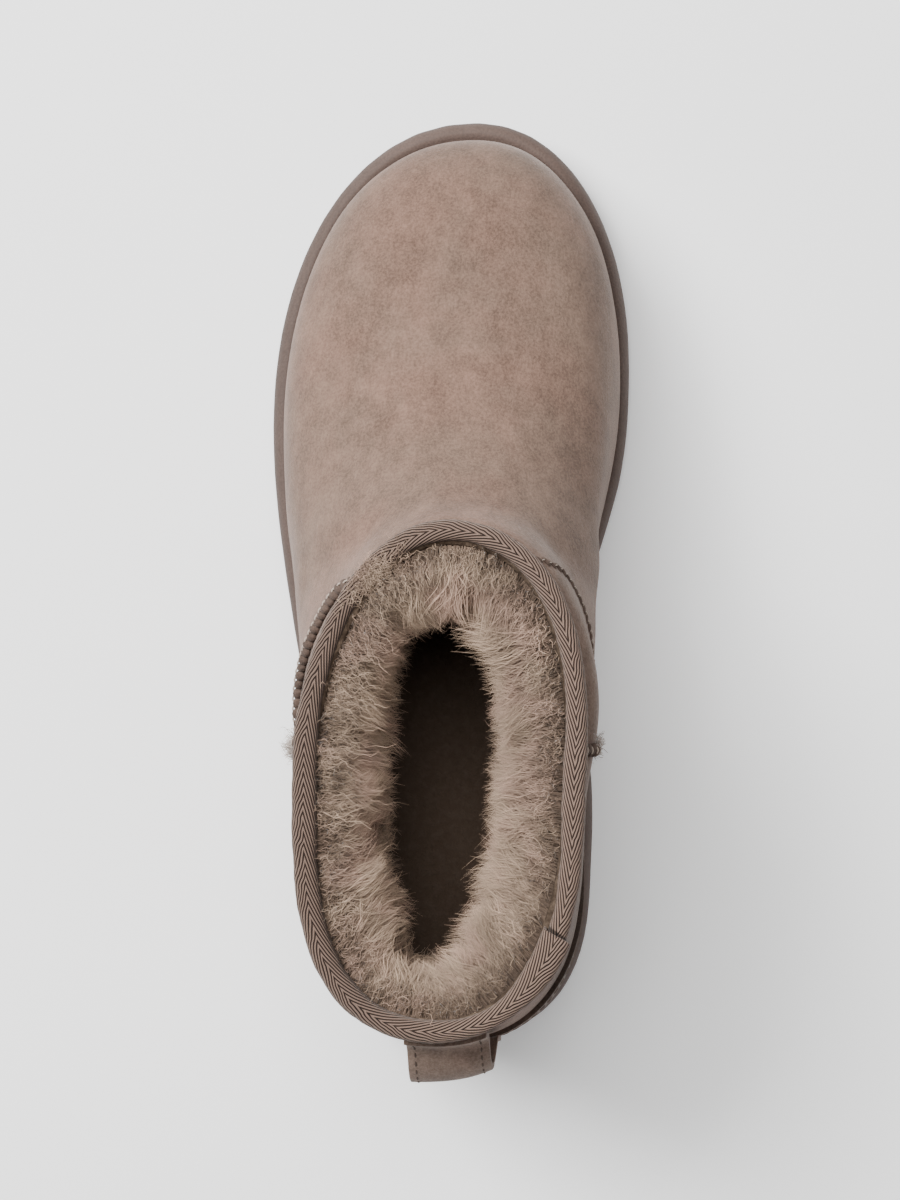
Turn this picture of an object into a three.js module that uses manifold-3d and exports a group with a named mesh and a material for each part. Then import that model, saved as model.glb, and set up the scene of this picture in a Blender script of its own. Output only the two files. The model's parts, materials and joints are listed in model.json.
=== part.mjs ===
// A low pull-on sheepskin boot for the left foot, built as its maker puts it together: a moulded outsole,
// a fleece-covered insole, one sewn sheepskin upper, a heel counter, a tape bound over the collar's edge
// and a suede pull loop at the back. Millimetres. X runs from heel to toe, Y to the outer side of the
// foot, Z up. The origin is on the floor, at the centre of the heel's flat spot.
import * as THREE from "three";
import { mergeVertices } from "three/addons/utils/BufferGeometryUtils.js";
import Module from "manifold-3d";

const wasm = await Module();
wasm.setup();

// ---- Driving dimensions ----
const SOLE_LENGTH = 268.5;
const HEEL_CENTRE = 45; // from the sole's back to the origin
const GAP = 0.3; // between pieces that lie against each other

// Sole: heights of its top and of its tread, measured at the centre line.
const HEEL_HEIGHT = 21;
const BALL_HEIGHT = 15.5;
const TOE_SPRING = 7.5;
const TOE_SPRING_START = 205;
const ARCH_START = 86;
const ARCH_END = 148;
const ARCH_LIFT = 2.4;
const HEEL_BEVEL_LENGTH = 12;
const HEEL_BEVEL = 1.6;

// Tread: chevron lugs inside a continuous rim.
const LUG_DEPTH = 2.2;
const LUG_PITCH = 11;
const LUG_WIDTH = 6.6;
const LUG_SLOPE = 0.18; // how far a chevron's arms fall back for each millimetre out
const LUG_REACH = 70; // length of each arm before it is trimmed to the sole
const LUG_ROOT = 1.2; // how far a lug runs up into the sole
const RIM_WIDTH = 6;
const RIM_CHANNEL = 3;
const HEEL_LUGS = 7;
const FOREFOOT_LUGS = 10;
const FOREFOOT_LUG_START = 150;

// Insole.
const INSOLE_THICKNESS = 8;
const INSOLE_CLEARANCE = 0.8;
const INSOLE_SPINE = { back: 60, front: 200 }; // the line that its edge is drawn in towards

// Upper wall: hide and fleece together, thicker in the shaft and pressed thin under the binding.
const FOOT_WALL = 10;
const SHAFT_WALL = 16;
const BOUND_WALL = 5.5;
const BOUND_DEPTH = 9;
const FLEECE_SWELL = 16;
const COLLAR_TILT = 0.055; // rise of the collar per millimetre towards the toe
const COLLAR_TILT_CENTRE = 77;
const TILT_FROM_ROW = 4;

// Binding tape.
const TAPE = 1.3;
const TAPE_OUTER_DROP = 11;
const TAPE_INNER_DROP = 8;

// Heel counter.
const COUNTER_THICKNESS = 1.4;
const COUNTER_FRONT = 66; // from the sole's back, at the feather edge
const COUNTER_SHOULDER = 24; // height at which its front edge starts to curve back
const COUNTER_TOP = 66;
const COUNTER_FLAT = 20; // from the sole's back, where the curve meets the level top edge
const COUNTER_CURVE = { near: [60, 44], far: [40, 62] };

// Pull loop.
const LOOP_WIDTH = 20.5;
const LOOP_THICKNESS = 1.8;
const LOOP_CENTRE_Y = -2.7;
const LOOP_TOP = 108.5;
const LOOP_BOTTOM = 70;
const LOOP_PAD = 7; // length of each sewn end
const LOOP_REACH = 12; // how far the fold stands off the back of the shaft
const LOOP_SLACK = 0.25; // room for the facets of the shaft's back
const LOOP_SLICES = 6;
const LOOP_FOLD_HEIGHT = 90;
// The fold's inner face, from the upper end to the lower one: how far it lies from the tip, and how high.
const LOOP_FOLDS = [
  [7.4, 8.6], [4.6, 6.8], [2.0, 4.4], [0.5, 2.0], [0, -0.4],
  [0.5, -2.8], [1.9, -5.0], [4.2, -7.6], [7.2, -10.6],
];

// Resolution.
const STATIONS = 28; // along each side of a ring, from back to front
const RING = 2 * STATIONS;

// Exponents of the rounded ends of an outline, and how much a turned section's differ from side to side.
const TOE_ROUND = 2.12;
const TOE_TURN = 0.16;
const HEEL_ROUND = 2.4;
const HEEL_TURN = 0.2;
const BALL_SKEW = 6; // the outer ball lies behind the inner one by twice this
const ARCH_CENTRE = 120;
const ARCH_REACH = 58;

// Outline of the sole at its widest. Lengths are from the sole's back; "Out" is the outer side of the foot.
const SOLE = {
  back: 0, front: SOLE_LENGTH, heelAt: 45, heelOut: 40.5, heelIn: 38.4,
  ballAt: 188, ballOut: 59.1, ballIn: 46.1, arch: 8.5, turn: 0,
};

// Level sections of the upper's outside, from the feather edge on the sole to the collar. "arch" is the
// hollow of the inner side, and "turn" is 1 where the section looks fully turned, as the collar's oval does.
const SECTION_COLUMNS = [
  "height", "back", "front", "heelAt", "heelOut", "heelIn", "ballAt", "ballOut", "ballIn", "arch", "turn",
];
const SECTIONS = [
  [18, 5.0, 259.5, 46, 35.5, 33.0, 187, 51.5, 41.6, 8.0, 0],
  [30, 3.2, 261.5, 46, 37.2, 34.8, 187, 53.4, 43.5, 7.0, 0],
  [43, 2.6, 257.5, 47, 37.6, 35.3, 182, 52.6, 42.8, 5.0, 0],
  [54, 3.0, 246.0, 49, 37.8, 35.8, 168, 49.6, 41.2, 3.0, 0],
  [62, 3.6, 228.0, 52, 38.0, 36.2, 150, 46.6, 40.0, 1.6, 0.15],
  [68.5, 4.2, 207.5, 55, 38.2, 36.6, 132, 44.4, 39.2, 0.6, 0.3],
  [76, 5.0, 187.5, 59, 38.4, 36.9, 114, 42.6, 38.7, 0, 0.45],
  [85, 6.0, 169.5, 63, 38.6, 37.1, 101, 41.3, 38.4, 0, 0.6],
  [96, 7.1, 155.0, 67, 38.8, 37.1, 92, 40.3, 38.0, 0, 0.75],
  [109, 8.0, 146.8, 70, 39.0, 37.0, 86, 39.5, 37.5, 0, 0.9],
  [125, 8.7, 143.8, 72, 39.1, 37.0, 80, 39.1, 37.2, 0, 1],
].map((row) => Object.fromEntries(SECTION_COLUMNS.map((column, n) => [column, row[n]])));
const COLLAR_ROW = SECTIONS.length - 1;

// ---- Small helpers ----
const { clamp, lerp, smoothstep } = THREE.MathUtils;

// A value on a smooth curve through four neighbouring values, between the middle two.
function smoothBetween(before, from, to, after, t) {
  const t2 = t * t;
  const t3 = t2 * t;
  const pull = -before + 3 * from - 3 * to + after;
  return 0.5 * (2 * from + (to - before) * t + (2 * before - 5 * from + 4 * to - after) * t2 + pull * t3);
}

// The section of the upper at a row number, which need not be whole.
function sectionAt(row) {
  const i = clamp(Math.floor(row), 0, COLLAR_ROW - 1);
  const around = [i - 1, i, i + 1, i + 2].map((k) => SECTIONS[clamp(k, 0, COLLAR_ROW)]);
  const section = {};
  for (const column of SECTION_COLUMNS)
    section[column] = smoothBetween(...around.map((s) => s[column]), row - i);
  return section;
}

// Share of the full width that a rounded end has left, at a share of the way to its tip.
const roundedEnd = (share, exponent) => Math.pow(Math.max(0, 1 - Math.pow(share, exponent)), 1 / exponent);

const heelExponent = (outline, side) => HEEL_ROUND + side * HEEL_TURN * outline.turn;
const toeExponent = (outline, side) => TOE_ROUND - side * TOE_TURN * outline.turn;

// Half width of an outline at x, on the outer side (side = 1) or the inner side (side = -1).
function halfWidth(outline, x, side) {
  const heel = side > 0 ? outline.heelOut : outline.heelIn;
  const ball = side > 0 ? outline.ballOut : outline.ballIn;
  const ballAt = outline.ballAt - side * BALL_SKEW;
  if (x < outline.heelAt) {
    const share = (outline.heelAt - x) / (outline.heelAt - outline.back);
    return heel * roundedEnd(share, heelExponent(outline, side));
  }
  if (x > ballAt) {
    const share = (x - ballAt) / (outline.front - ballAt);
    return ball * roundedEnd(share, toeExponent(outline, side));
  }
  const hollow = Math.cos((Math.PI / 2) * clamp((x - ARCH_CENTRE) / ARCH_REACH, -1, 1)) ** 2;
  return lerp(heel, ball, smoothstep(x, outline.heelAt, ballAt)) - (side < 0 ? outline.arch * hollow : 0);
}

// One point of an outline, as [x, y]. Index 0 is the back, STATIONS the tip; the outer side comes first.
function outlinePoint(outline, index) {
  const side = index <= STATIONS ? 1 : -1;
  const along = (1 - Math.cos((Math.PI * (side > 0 ? index : RING - index)) / STATIONS)) / 2;
  const x = lerp(outline.back, outline.front, along);
  return [x, side * halfWidth(outline, x, side)];
}

// The same outline drawn in by a margin all round.
const drawnIn = (outline, margin) => ({
  ...outline,
  back: outline.back + margin,
  front: outline.front - margin,
  heelOut: outline.heelOut - margin,
  heelIn: outline.heelIn - margin,
  ballOut: outline.ballOut - margin,
  ballIn: outline.ballIn - margin,
});

// Heights of the sole's tread and of its top, at a distance from its back.
function treadHeight(x) {
  const middle = (ARCH_START + ARCH_END) / 2;
  const arch = smoothstep(x, ARCH_START, middle) - smoothstep(x, middle, ARCH_END);
  const toe = clamp((x - TOE_SPRING_START) / (SOLE_LENGTH - TOE_SPRING_START), 0, 1);
  const heel = clamp(1 - x / HEEL_BEVEL_LENGTH, 0, 1);
  return ARCH_LIFT * arch + TOE_SPRING * toe ** 1.8 + HEEL_BEVEL * heel ** 2;
}

function topHeight(x) {
  const toe = clamp((x - TOE_SPRING_START) / (SOLE_LENGTH - TOE_SPRING_START), 0, 1);
  return lerp(HEEL_HEIGHT, BALL_HEIGHT, smoothstep(x, 50, 165)) + (TOE_SPRING - 1) * toe ** 1.8;
}

// A point on the upper's outside. Row 0 is the feather edge, COLLAR_ROW the collar.
function outsidePoint(row, index) {
  const section = sectionAt(row);
  const [x, y] = outlinePoint(section, index);
  const tilt = COLLAR_TILT * (x - COLLAR_TILT_CENTRE) * smoothstep(row, TILT_FROM_ROW, COLLAR_ROW);
  const lift = row < 1 ? (topHeight(x) + GAP - SECTIONS[0].height) * (1 - row) : 0;
  return new THREE.Vector3(x, y, section.height + tilt + lift);
}

// The direction out of the upper's surface at a point.
function outwards(row, index) {
  const step = 0.05;
  const above = outsidePoint(Math.min(row + step, COLLAR_ROW), index);
  const up = above.sub(outsidePoint(Math.max(row - step, 0), index));
  const next = outsidePoint(row, (index + 1) % RING);
  const along = next.sub(outsidePoint(row, (index + RING - 1) % RING));
  const out = up.cross(along).normalize();
  return row === 0 ? out.setZ(0).normalize() : out;
}

// A point at a distance outside the upper's surface, or inside it where the distance is negative.
const offsetPoint = (row, index, distance) =>
  outsidePoint(row, index).addScaledVector(outwards(row, index), distance);

// Thickness of hide and fleece at a row, as far below the collar as the row's point is.
function wallThickness(row, index) {
  const below = outsidePoint(COLLAR_ROW, index).z - outsidePoint(row, index).z;
  const full = lerp(FOOT_WALL, SHAFT_WALL, smoothstep(row, 4.5, 8));
  return lerp(BOUND_WALL, full, smoothstep(below, BOUND_DEPTH, BOUND_DEPTH + FLEECE_SWELL));
}

const insidePoint = (row, index) => {
  const point = offsetPoint(row, index, -wallThickness(row, index));
  if (row === 0) point.z = topHeight(point.x) + GAP;
  return point;
};

// The row whose point lies a given height below the collar.
function rowBelowCollar(drop, index) {
  const goal = outsidePoint(COLLAR_ROW, index).z - drop;
  let low = TILT_FROM_ROW;
  let high = COLLAR_ROW;
  for (let n = 0; n < 24; n++) {
    const middle = (low + high) / 2;
    if (outsidePoint(middle, index).z < goal) low = middle;
    else high = middle;
  }
  return (low + high) / 2;
}

// ---- Meshes and solids ----
const ringOf = (pointAt) => Array.from({ length: RING }, (_, index) => pointAt(index));

// A closed surface through a stack of rings. "capped" closes both ends by strips across the ring;
// otherwise the last ring joins the first.
function lofted(rings, capped) {
  const positions = rings.flat().flatMap((p) => [p.x, p.y, p.z]);
  const size = rings[0].length;
  const faces = [];
  const quad = (a, b, c, d) => faces.push(a, b, c, a, c, d);
  const bands = capped ? rings.length - 1 : rings.length;
  for (let r = 0; r < bands; r++)
    for (let i = 0; i < size; i++) {
      const here = r * size;
      const above = ((r + 1) % rings.length) * size;
      const next = (i + 1) % size;
      quad(here + next, here + i, above + i, above + next);
    }
  if (capped) {
    const last = (rings.length - 1) * size;
    const half = size / 2;
    for (let i = 0; i < half; i++) {
      const [a, b, c, d] = [i, i + 1, size - i - 1, (size - i) % size];
      if (i > 0) faces.push(a, b, d, last + b, last + a, last + d);
      if (i < half - 1) faces.push(b, c, d, last + c, last + b, last + d);
    }
  }
  const geometry = new THREE.BufferGeometry();
  geometry.setAttribute("position", new THREE.Float32BufferAttribute(positions, 3));
  geometry.setIndex(faces);
  return geometry;
}

function solidFrom(geometry) {
  const bare = geometry.clone();
  bare.deleteAttribute("normal");
  bare.deleteAttribute("uv");
  const merged = mergeVertices(bare, 1e-4);
  const triVerts = new Uint32Array(merged.index.array);
  return new wasm.Manifold(
    new wasm.Mesh({ numProp: 3, vertProperties: merged.attributes.position.array, triVerts }),
  );
}

function geometryFrom(solid) {
  const mesh = solid.getMesh();
  const geometry = new THREE.BufferGeometry();
  geometry.setAttribute("position", new THREE.BufferAttribute(new Float32Array(mesh.vertProperties), 3));
  geometry.setIndex(new THREE.BufferAttribute(new Uint32Array(mesh.triVerts), 1));
  geometry.computeVertexNormals();
  return geometry;
}

// A straight prism of a flat outline, from z = low to z = high.
function prism(points, low, high) {
  const shape = new THREE.Shape(points.map(([x, y]) => new THREE.Vector2(x, y)));
  const geometry = new THREE.ExtrudeGeometry(shape, { depth: high - low, bevelEnabled: false });
  return solidFrom(geometry.translate(0, 0, low));
}

const joined = (solids) => solids.reduce((all, solid) => all.add(solid));

// ---- Outsole ----
// Each ring of the sole's edge: how far it is drawn in, and its height as a share of the sole's there.
const SOLE_EDGE = [
  { margin: 2.6, share: 0.13 },
  { margin: 0.9, share: 0.24 },
  { margin: 0, share: 0.5 },
  { margin: 0.4, share: 0.76 },
  { margin: 2.0, share: 0.93 },
  { margin: 4.2, share: 1 },
];

function soleRing({ margin, share }) {
  const outline = drawnIn(SOLE, margin);
  return ringOf((index) => {
    const [x, y] = outlinePoint(outline, index);
    return new THREE.Vector3(x, y, lerp(treadHeight(x), topHeight(x), share));
  });
}

// A layer that follows the tread, as thick as the lugs are deep and a little into the sole.
function treadLayer(margin) {
  const outline = drawnIn(SOLE, margin);
  const at = (depth) =>
    ringOf((index) => {
      const [x, y] = outlinePoint(outline, index);
      return new THREE.Vector3(x, y, treadHeight(x) + depth);
    });
  return solidFrom(lofted([at(0), at(LUG_DEPTH + LUG_ROOT)], true));
}

// One chevron lug across the whole sole, with its point towards the toe.
function chevron(x) {
  const half = LUG_WIDTH / 2;
  const back = LUG_SLOPE * LUG_REACH;
  const outline = [
    [x + half, 0], [x + half - back, LUG_REACH], [x - half - back, LUG_REACH],
    [x - half, 0], [x - half - back, -LUG_REACH], [x + half - back, -LUG_REACH],
  ];
  return prism(outline, -LUG_DEPTH, HEEL_HEIGHT);
}

function outsole() {
  const body = solidFrom(lofted(SOLE_EDGE.map(soleRing), true));
  const heelFirst = HEEL_CENTRE - LUG_PITCH * Math.floor(HEEL_LUGS / 2);
  const places = [
    ...Array.from({ length: HEEL_LUGS }, (_, n) => heelFirst + n * LUG_PITCH),
    ...Array.from({ length: FOREFOOT_LUGS }, (_, n) => FOREFOOT_LUG_START + n * LUG_PITCH),
  ];
  const edge = SOLE_EDGE[0].margin;
  const rim = treadLayer(edge).subtract(treadLayer(edge + RIM_WIDTH).translate(0, 0, -0.01));
  const lugs = joined(places.map(chevron)).intersect(treadLayer(edge + RIM_WIDTH + RIM_CHANNEL));
  return joined([body, rim, lugs]);
}

// ---- Insole ----
function insole() {
  const ring = (height) =>
    ringOf((index) => {
      const inside = insidePoint(0, index);
      const spineX = lerp(INSOLE_SPINE.back, INSOLE_SPINE.front, inside.x / SOLE_LENGTH);
      const inwards = new THREE.Vector3(spineX, 0, inside.z).sub(inside).setZ(0).normalize();
      const point = inside.addScaledVector(inwards, INSOLE_CLEARANCE);
      return point.setZ(topHeight(point.x) + height);
    });
  return solidFrom(lofted([ring(GAP), ring(GAP + INSOLE_THICKNESS)], true));
}

// ---- Upper ----
// Rows at which the upper is sampled: closer together near the collar, where the fleece swells.
const UPPER_ROWS = [
  ...Array.from({ length: 18 }, (_, n) => n / 2),
  9, 9.25, 9.45, 9.7, COLLAR_ROW,
];

function upper() {
  const outside = UPPER_ROWS.map((row) => ringOf((index) => outsidePoint(row, index)));
  const inside = UPPER_ROWS.map((row) => ringOf((index) => insidePoint(row, index)));
  return solidFrom(lofted([...outside, ...inside.reverse()], false));
}

// The whole space inside a skin at a distance outside the upper, for cutting overlays. A skin that is cut
// away reaches a little further down and up than the one it is cut from.
function skinForm(distance, overrun = 0) {
  const rows = UPPER_ROWS.filter((row) => Number.isInteger(row * 2));
  const rings = rows.map((row) => ringOf((index) => offsetPoint(row, index, distance)));
  rings[0].forEach((point) => point.setZ(point.z - overrun));
  rings.at(-1).forEach((point) => point.setZ(point.z + overrun));
  return solidFrom(lofted(rings, true));
}

// ---- Heel counter ----
function heelCounter() {
  const side = new THREE.Shape();
  side.moveTo(-SOLE_LENGTH, 0);
  side.lineTo(COUNTER_FRONT, 0);
  side.lineTo(COUNTER_FRONT, COUNTER_SHOULDER);
  side.bezierCurveTo(...COUNTER_CURVE.near, ...COUNTER_CURVE.far, COUNTER_FLAT, COUNTER_TOP);
  side.lineTo(-SOLE_LENGTH, COUNTER_TOP);
  const depth = SOLE_LENGTH;
  const geometry = new THREE.ExtrudeGeometry(side, { depth, bevelEnabled: false, curveSegments: 8 });
  const cutter = solidFrom(geometry.rotateX(Math.PI / 2).translate(0, depth / 2, 0));
  return skinForm(GAP + COUNTER_THICKNESS).subtract(skinForm(GAP, 2 * GAP)).intersect(cutter);
}

// ---- Collar binding ----
// A tape folded over the collar: its section runs down the outside, over the edge and down the fleece.
function collarBinding() {
  const outer = (drop, distance) => (index) =>
    offsetPoint(drop ? rowBelowCollar(drop, index) : COLLAR_ROW, index, distance);
  const inner = (drop, distance) => (index) => {
    const row = drop ? rowBelowCollar(drop, index) : COLLAR_ROW;
    return offsetPoint(row, index, -wallThickness(row, index) - distance);
  };
  const lifted = (pointAt, height) => (index) => pointAt(index).add(new THREE.Vector3(0, 0, height));
  const loops = [
    outer(TAPE_OUTER_DROP, GAP),
    outer(TAPE_OUTER_DROP, GAP + TAPE),
    outer(TAPE_OUTER_DROP / 2, GAP + TAPE),
    outer(0, GAP + TAPE),
    lifted(outer(0, GAP), GAP + TAPE),
    lifted(inner(0, GAP), GAP + TAPE),
    inner(0, GAP + TAPE),
    inner(TAPE_INNER_DROP, GAP + TAPE),
    inner(TAPE_INNER_DROP, GAP),
    lifted(inner(0, GAP), GAP),
    lifted(outer(0, GAP), GAP),
    outer(TAPE_OUTER_DROP / 2, GAP),
  ];
  return solidFrom(lofted(loops.map(ringOf), false));
}

// ---- Pull loop ----
// How far forward the back of the boot lies at a height and a distance from the middle.
function backOfBoot(height, y) {
  let low = 0;
  let high = COLLAR_ROW;
  for (let n = 0; n < 24; n++) {
    const middle = (low + high) / 2;
    if (outsidePoint(middle, 0).z < height) low = middle;
    else high = middle;
  }
  const section = sectionAt(low);
  const side = y > 0 ? 1 : -1;
  const half = side > 0 ? section.heelOut : section.heelIn;
  const depth = roundedEnd(Math.abs(y) / half, heelExponent(section, side));
  return section.heelAt - (section.heelAt - section.back) * depth;
}

// The strap's inner face: sewn flat at both ends, and between them a flat fold that stands straight out.
function loopRoute(y) {
  const off = GAP + LOOP_SLACK;
  const lay = (height) => new THREE.Vector2(backOfBoot(height, y) - off, height);
  const tip = backOfBoot(LOOP_FOLD_HEIGHT, y) - LOOP_REACH + LOOP_THICKNESS;
  const fold = LOOP_FOLDS.map(([out, up]) => new THREE.Vector2(tip + out, LOOP_FOLD_HEIGHT + up));
  return [
    lay(LOOP_TOP),
    lay(LOOP_TOP - LOOP_PAD),
    ...fold,
    lay(LOOP_BOTTOM + LOOP_PAD),
    lay(LOOP_BOTTOM),
  ];
}

function pullLoop() {
  const slices = Array.from({ length: LOOP_SLICES + 1 }, (_, n) => {
    const y = LOOP_CENTRE_Y + LOOP_WIDTH * (0.5 - n / LOOP_SLICES);
    const inner = loopRoute(y);
    const outer = inner.map((point, i) => {
      const before = inner[Math.max(i - 1, 0)];
      const after = inner[Math.min(i + 1, inner.length - 1)];
      const along = after.clone().sub(before).normalize();
      return new THREE.Vector2(point.x + along.y * LOOP_THICKNESS, point.y - along.x * LOOP_THICKNESS);
    });
    return [...inner, ...outer.reverse()].map((p) => new THREE.Vector3(p.x, y, p.y));
  });
  return solidFrom(lofted(slices, true));
}

// ---- Assembly ----
const suede = { color: 0xa08a7c, roughness: 0.95, metalness: 0 };
const PIECES = [
  { name: "outsole", make: outsole, look: { color: 0x85756a, roughness: 0.8, metalness: 0 } },
  { name: "insole", make: insole, look: { color: 0x9c8b7c, roughness: 1, metalness: 0 } },
  { name: "upper", make: upper, look: suede },
  { name: "heel_counter", make: heelCounter, look: suede },
  { name: "collar_binding", make: collarBinding, look: { color: 0x7f7065, roughness: 0.9, metalness: 0 } },
  { name: "pull_loop", make: pullLoop, look: suede },
];

const boot = new THREE.Group();
boot.name = "sheepskin_boot";
boot.position.x = -HEEL_CENTRE;
for (const { name, make, look } of PIECES) {
  const mesh = new THREE.Mesh(geometryFrom(make()), new THREE.MeshStandardMaterial(look));
  mesh.name = name;
  boot.add(mesh);
}

export default boot;
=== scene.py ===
"""Looks of a low pull-on sheepskin boot for the left foot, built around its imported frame.

X runs from heel to toe, Y to the outer side of the foot and Z up. The scene is in metres. The classes keep
their sizes in millimetres, which MM turns into metres, or in metres where MM stands in the value itself.
"""
import json
import logging
import math
from contextlib import contextmanager
from dataclasses import dataclass, field
from enum import Enum
from typing import Callable, Iterator, Sequence

import bpy
import numpy as np
from mathutils import Matrix, Vector, noise
from mathutils.bvhtree import BVHTree

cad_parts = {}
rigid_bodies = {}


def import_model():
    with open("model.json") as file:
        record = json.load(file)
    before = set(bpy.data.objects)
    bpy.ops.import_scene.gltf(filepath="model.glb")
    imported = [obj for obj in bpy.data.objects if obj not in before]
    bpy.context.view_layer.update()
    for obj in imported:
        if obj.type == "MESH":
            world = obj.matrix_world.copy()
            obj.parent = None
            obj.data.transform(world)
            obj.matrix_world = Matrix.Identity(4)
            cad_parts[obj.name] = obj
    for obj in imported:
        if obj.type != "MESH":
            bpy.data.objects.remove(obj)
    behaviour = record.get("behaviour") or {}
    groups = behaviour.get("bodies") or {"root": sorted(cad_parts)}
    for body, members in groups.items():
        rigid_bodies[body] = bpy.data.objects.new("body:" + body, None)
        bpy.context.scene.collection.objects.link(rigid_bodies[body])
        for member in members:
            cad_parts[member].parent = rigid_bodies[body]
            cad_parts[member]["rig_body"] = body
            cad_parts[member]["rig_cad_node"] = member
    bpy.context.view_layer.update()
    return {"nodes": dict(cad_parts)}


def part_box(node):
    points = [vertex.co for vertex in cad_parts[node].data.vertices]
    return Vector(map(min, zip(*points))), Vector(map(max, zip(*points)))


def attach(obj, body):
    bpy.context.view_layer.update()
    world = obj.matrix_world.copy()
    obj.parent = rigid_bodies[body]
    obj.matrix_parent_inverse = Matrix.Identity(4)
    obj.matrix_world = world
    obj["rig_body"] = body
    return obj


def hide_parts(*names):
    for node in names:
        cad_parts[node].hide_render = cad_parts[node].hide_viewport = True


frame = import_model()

MM = 0.001
# Points nearer than this are one point.
WELD = 0.002 * MM
# Heights that rays are cast down from, over the sole and the collar, and how far aside the others start.
ABOVE_SOLE = 60 * MM
ABOVE_COLLAR = 200 * MM
ASIDE = 200 * MM
UP = Vector((0.0, 0.0, 1.0))
WOOL_SEED = 11
Piece = bpy.types.Object
Material = bpy.types.Material
Array = np.ndarray
Pair = tuple[float, float]
Triple = tuple[float, float, float]
Colour = Triple
# The middle stretch of a noise, spread over 0 to 1.
SOFT: Pair = (0.3, 0.7)
log = logging.getLogger("boot")


# ---------------------------------------------------------------- shader writing


class Signal:
    """A shader socket that takes part in Python arithmetic."""

    def __init__(self, book: "ShaderBook", socket: bpy.types.NodeSocket) -> None:
        """Wraps one output socket of a node in the book."""
        self.book = book
        self.socket = socket

    def _math(self, operation: str, *values: "Signal | float") -> "Signal":
        """Adds a Math node that works on these values in their order."""
        return self.book.node("ShaderNodeMath", {"operation": operation}, dict(enumerate(values)))

    def __add__(self, other: "Signal | float") -> "Signal":
        """self + other."""
        return self._math("ADD", self, other)

    __radd__ = __add__

    def __mul__(self, other: "Signal | float") -> "Signal":
        """self * other."""
        return self._math("MULTIPLY", self, other)

    __rmul__ = __mul__

    def __sub__(self, other: "Signal | float") -> "Signal":
        """self - other."""
        return self._math("SUBTRACT", self, other)

    def __rsub__(self, other: "Signal | float") -> "Signal":
        """other - self."""
        return self._math("SUBTRACT", other, self)

    def __truediv__(self, other: "Signal | float") -> "Signal":
        """self / other."""
        return self._math("DIVIDE", self, other)

    def __abs__(self) -> "Signal":
        """The size of self without its sign."""
        return self._math("ABSOLUTE", self)

    def zigzag(self, width: float) -> "Signal":
        """self folded to and fro between 0 and width."""
        return self._math("PINGPONG", self, width)

    def step(self, low: float, high: float) -> "Signal":
        """0 below low and 1 above high, with a soft change between them."""
        settings = {"interpolation_type": "SMOOTHSTEP"}
        return self.book.node("ShaderNodeMapRange", settings, {0: self, 1: low, 2: high})


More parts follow.
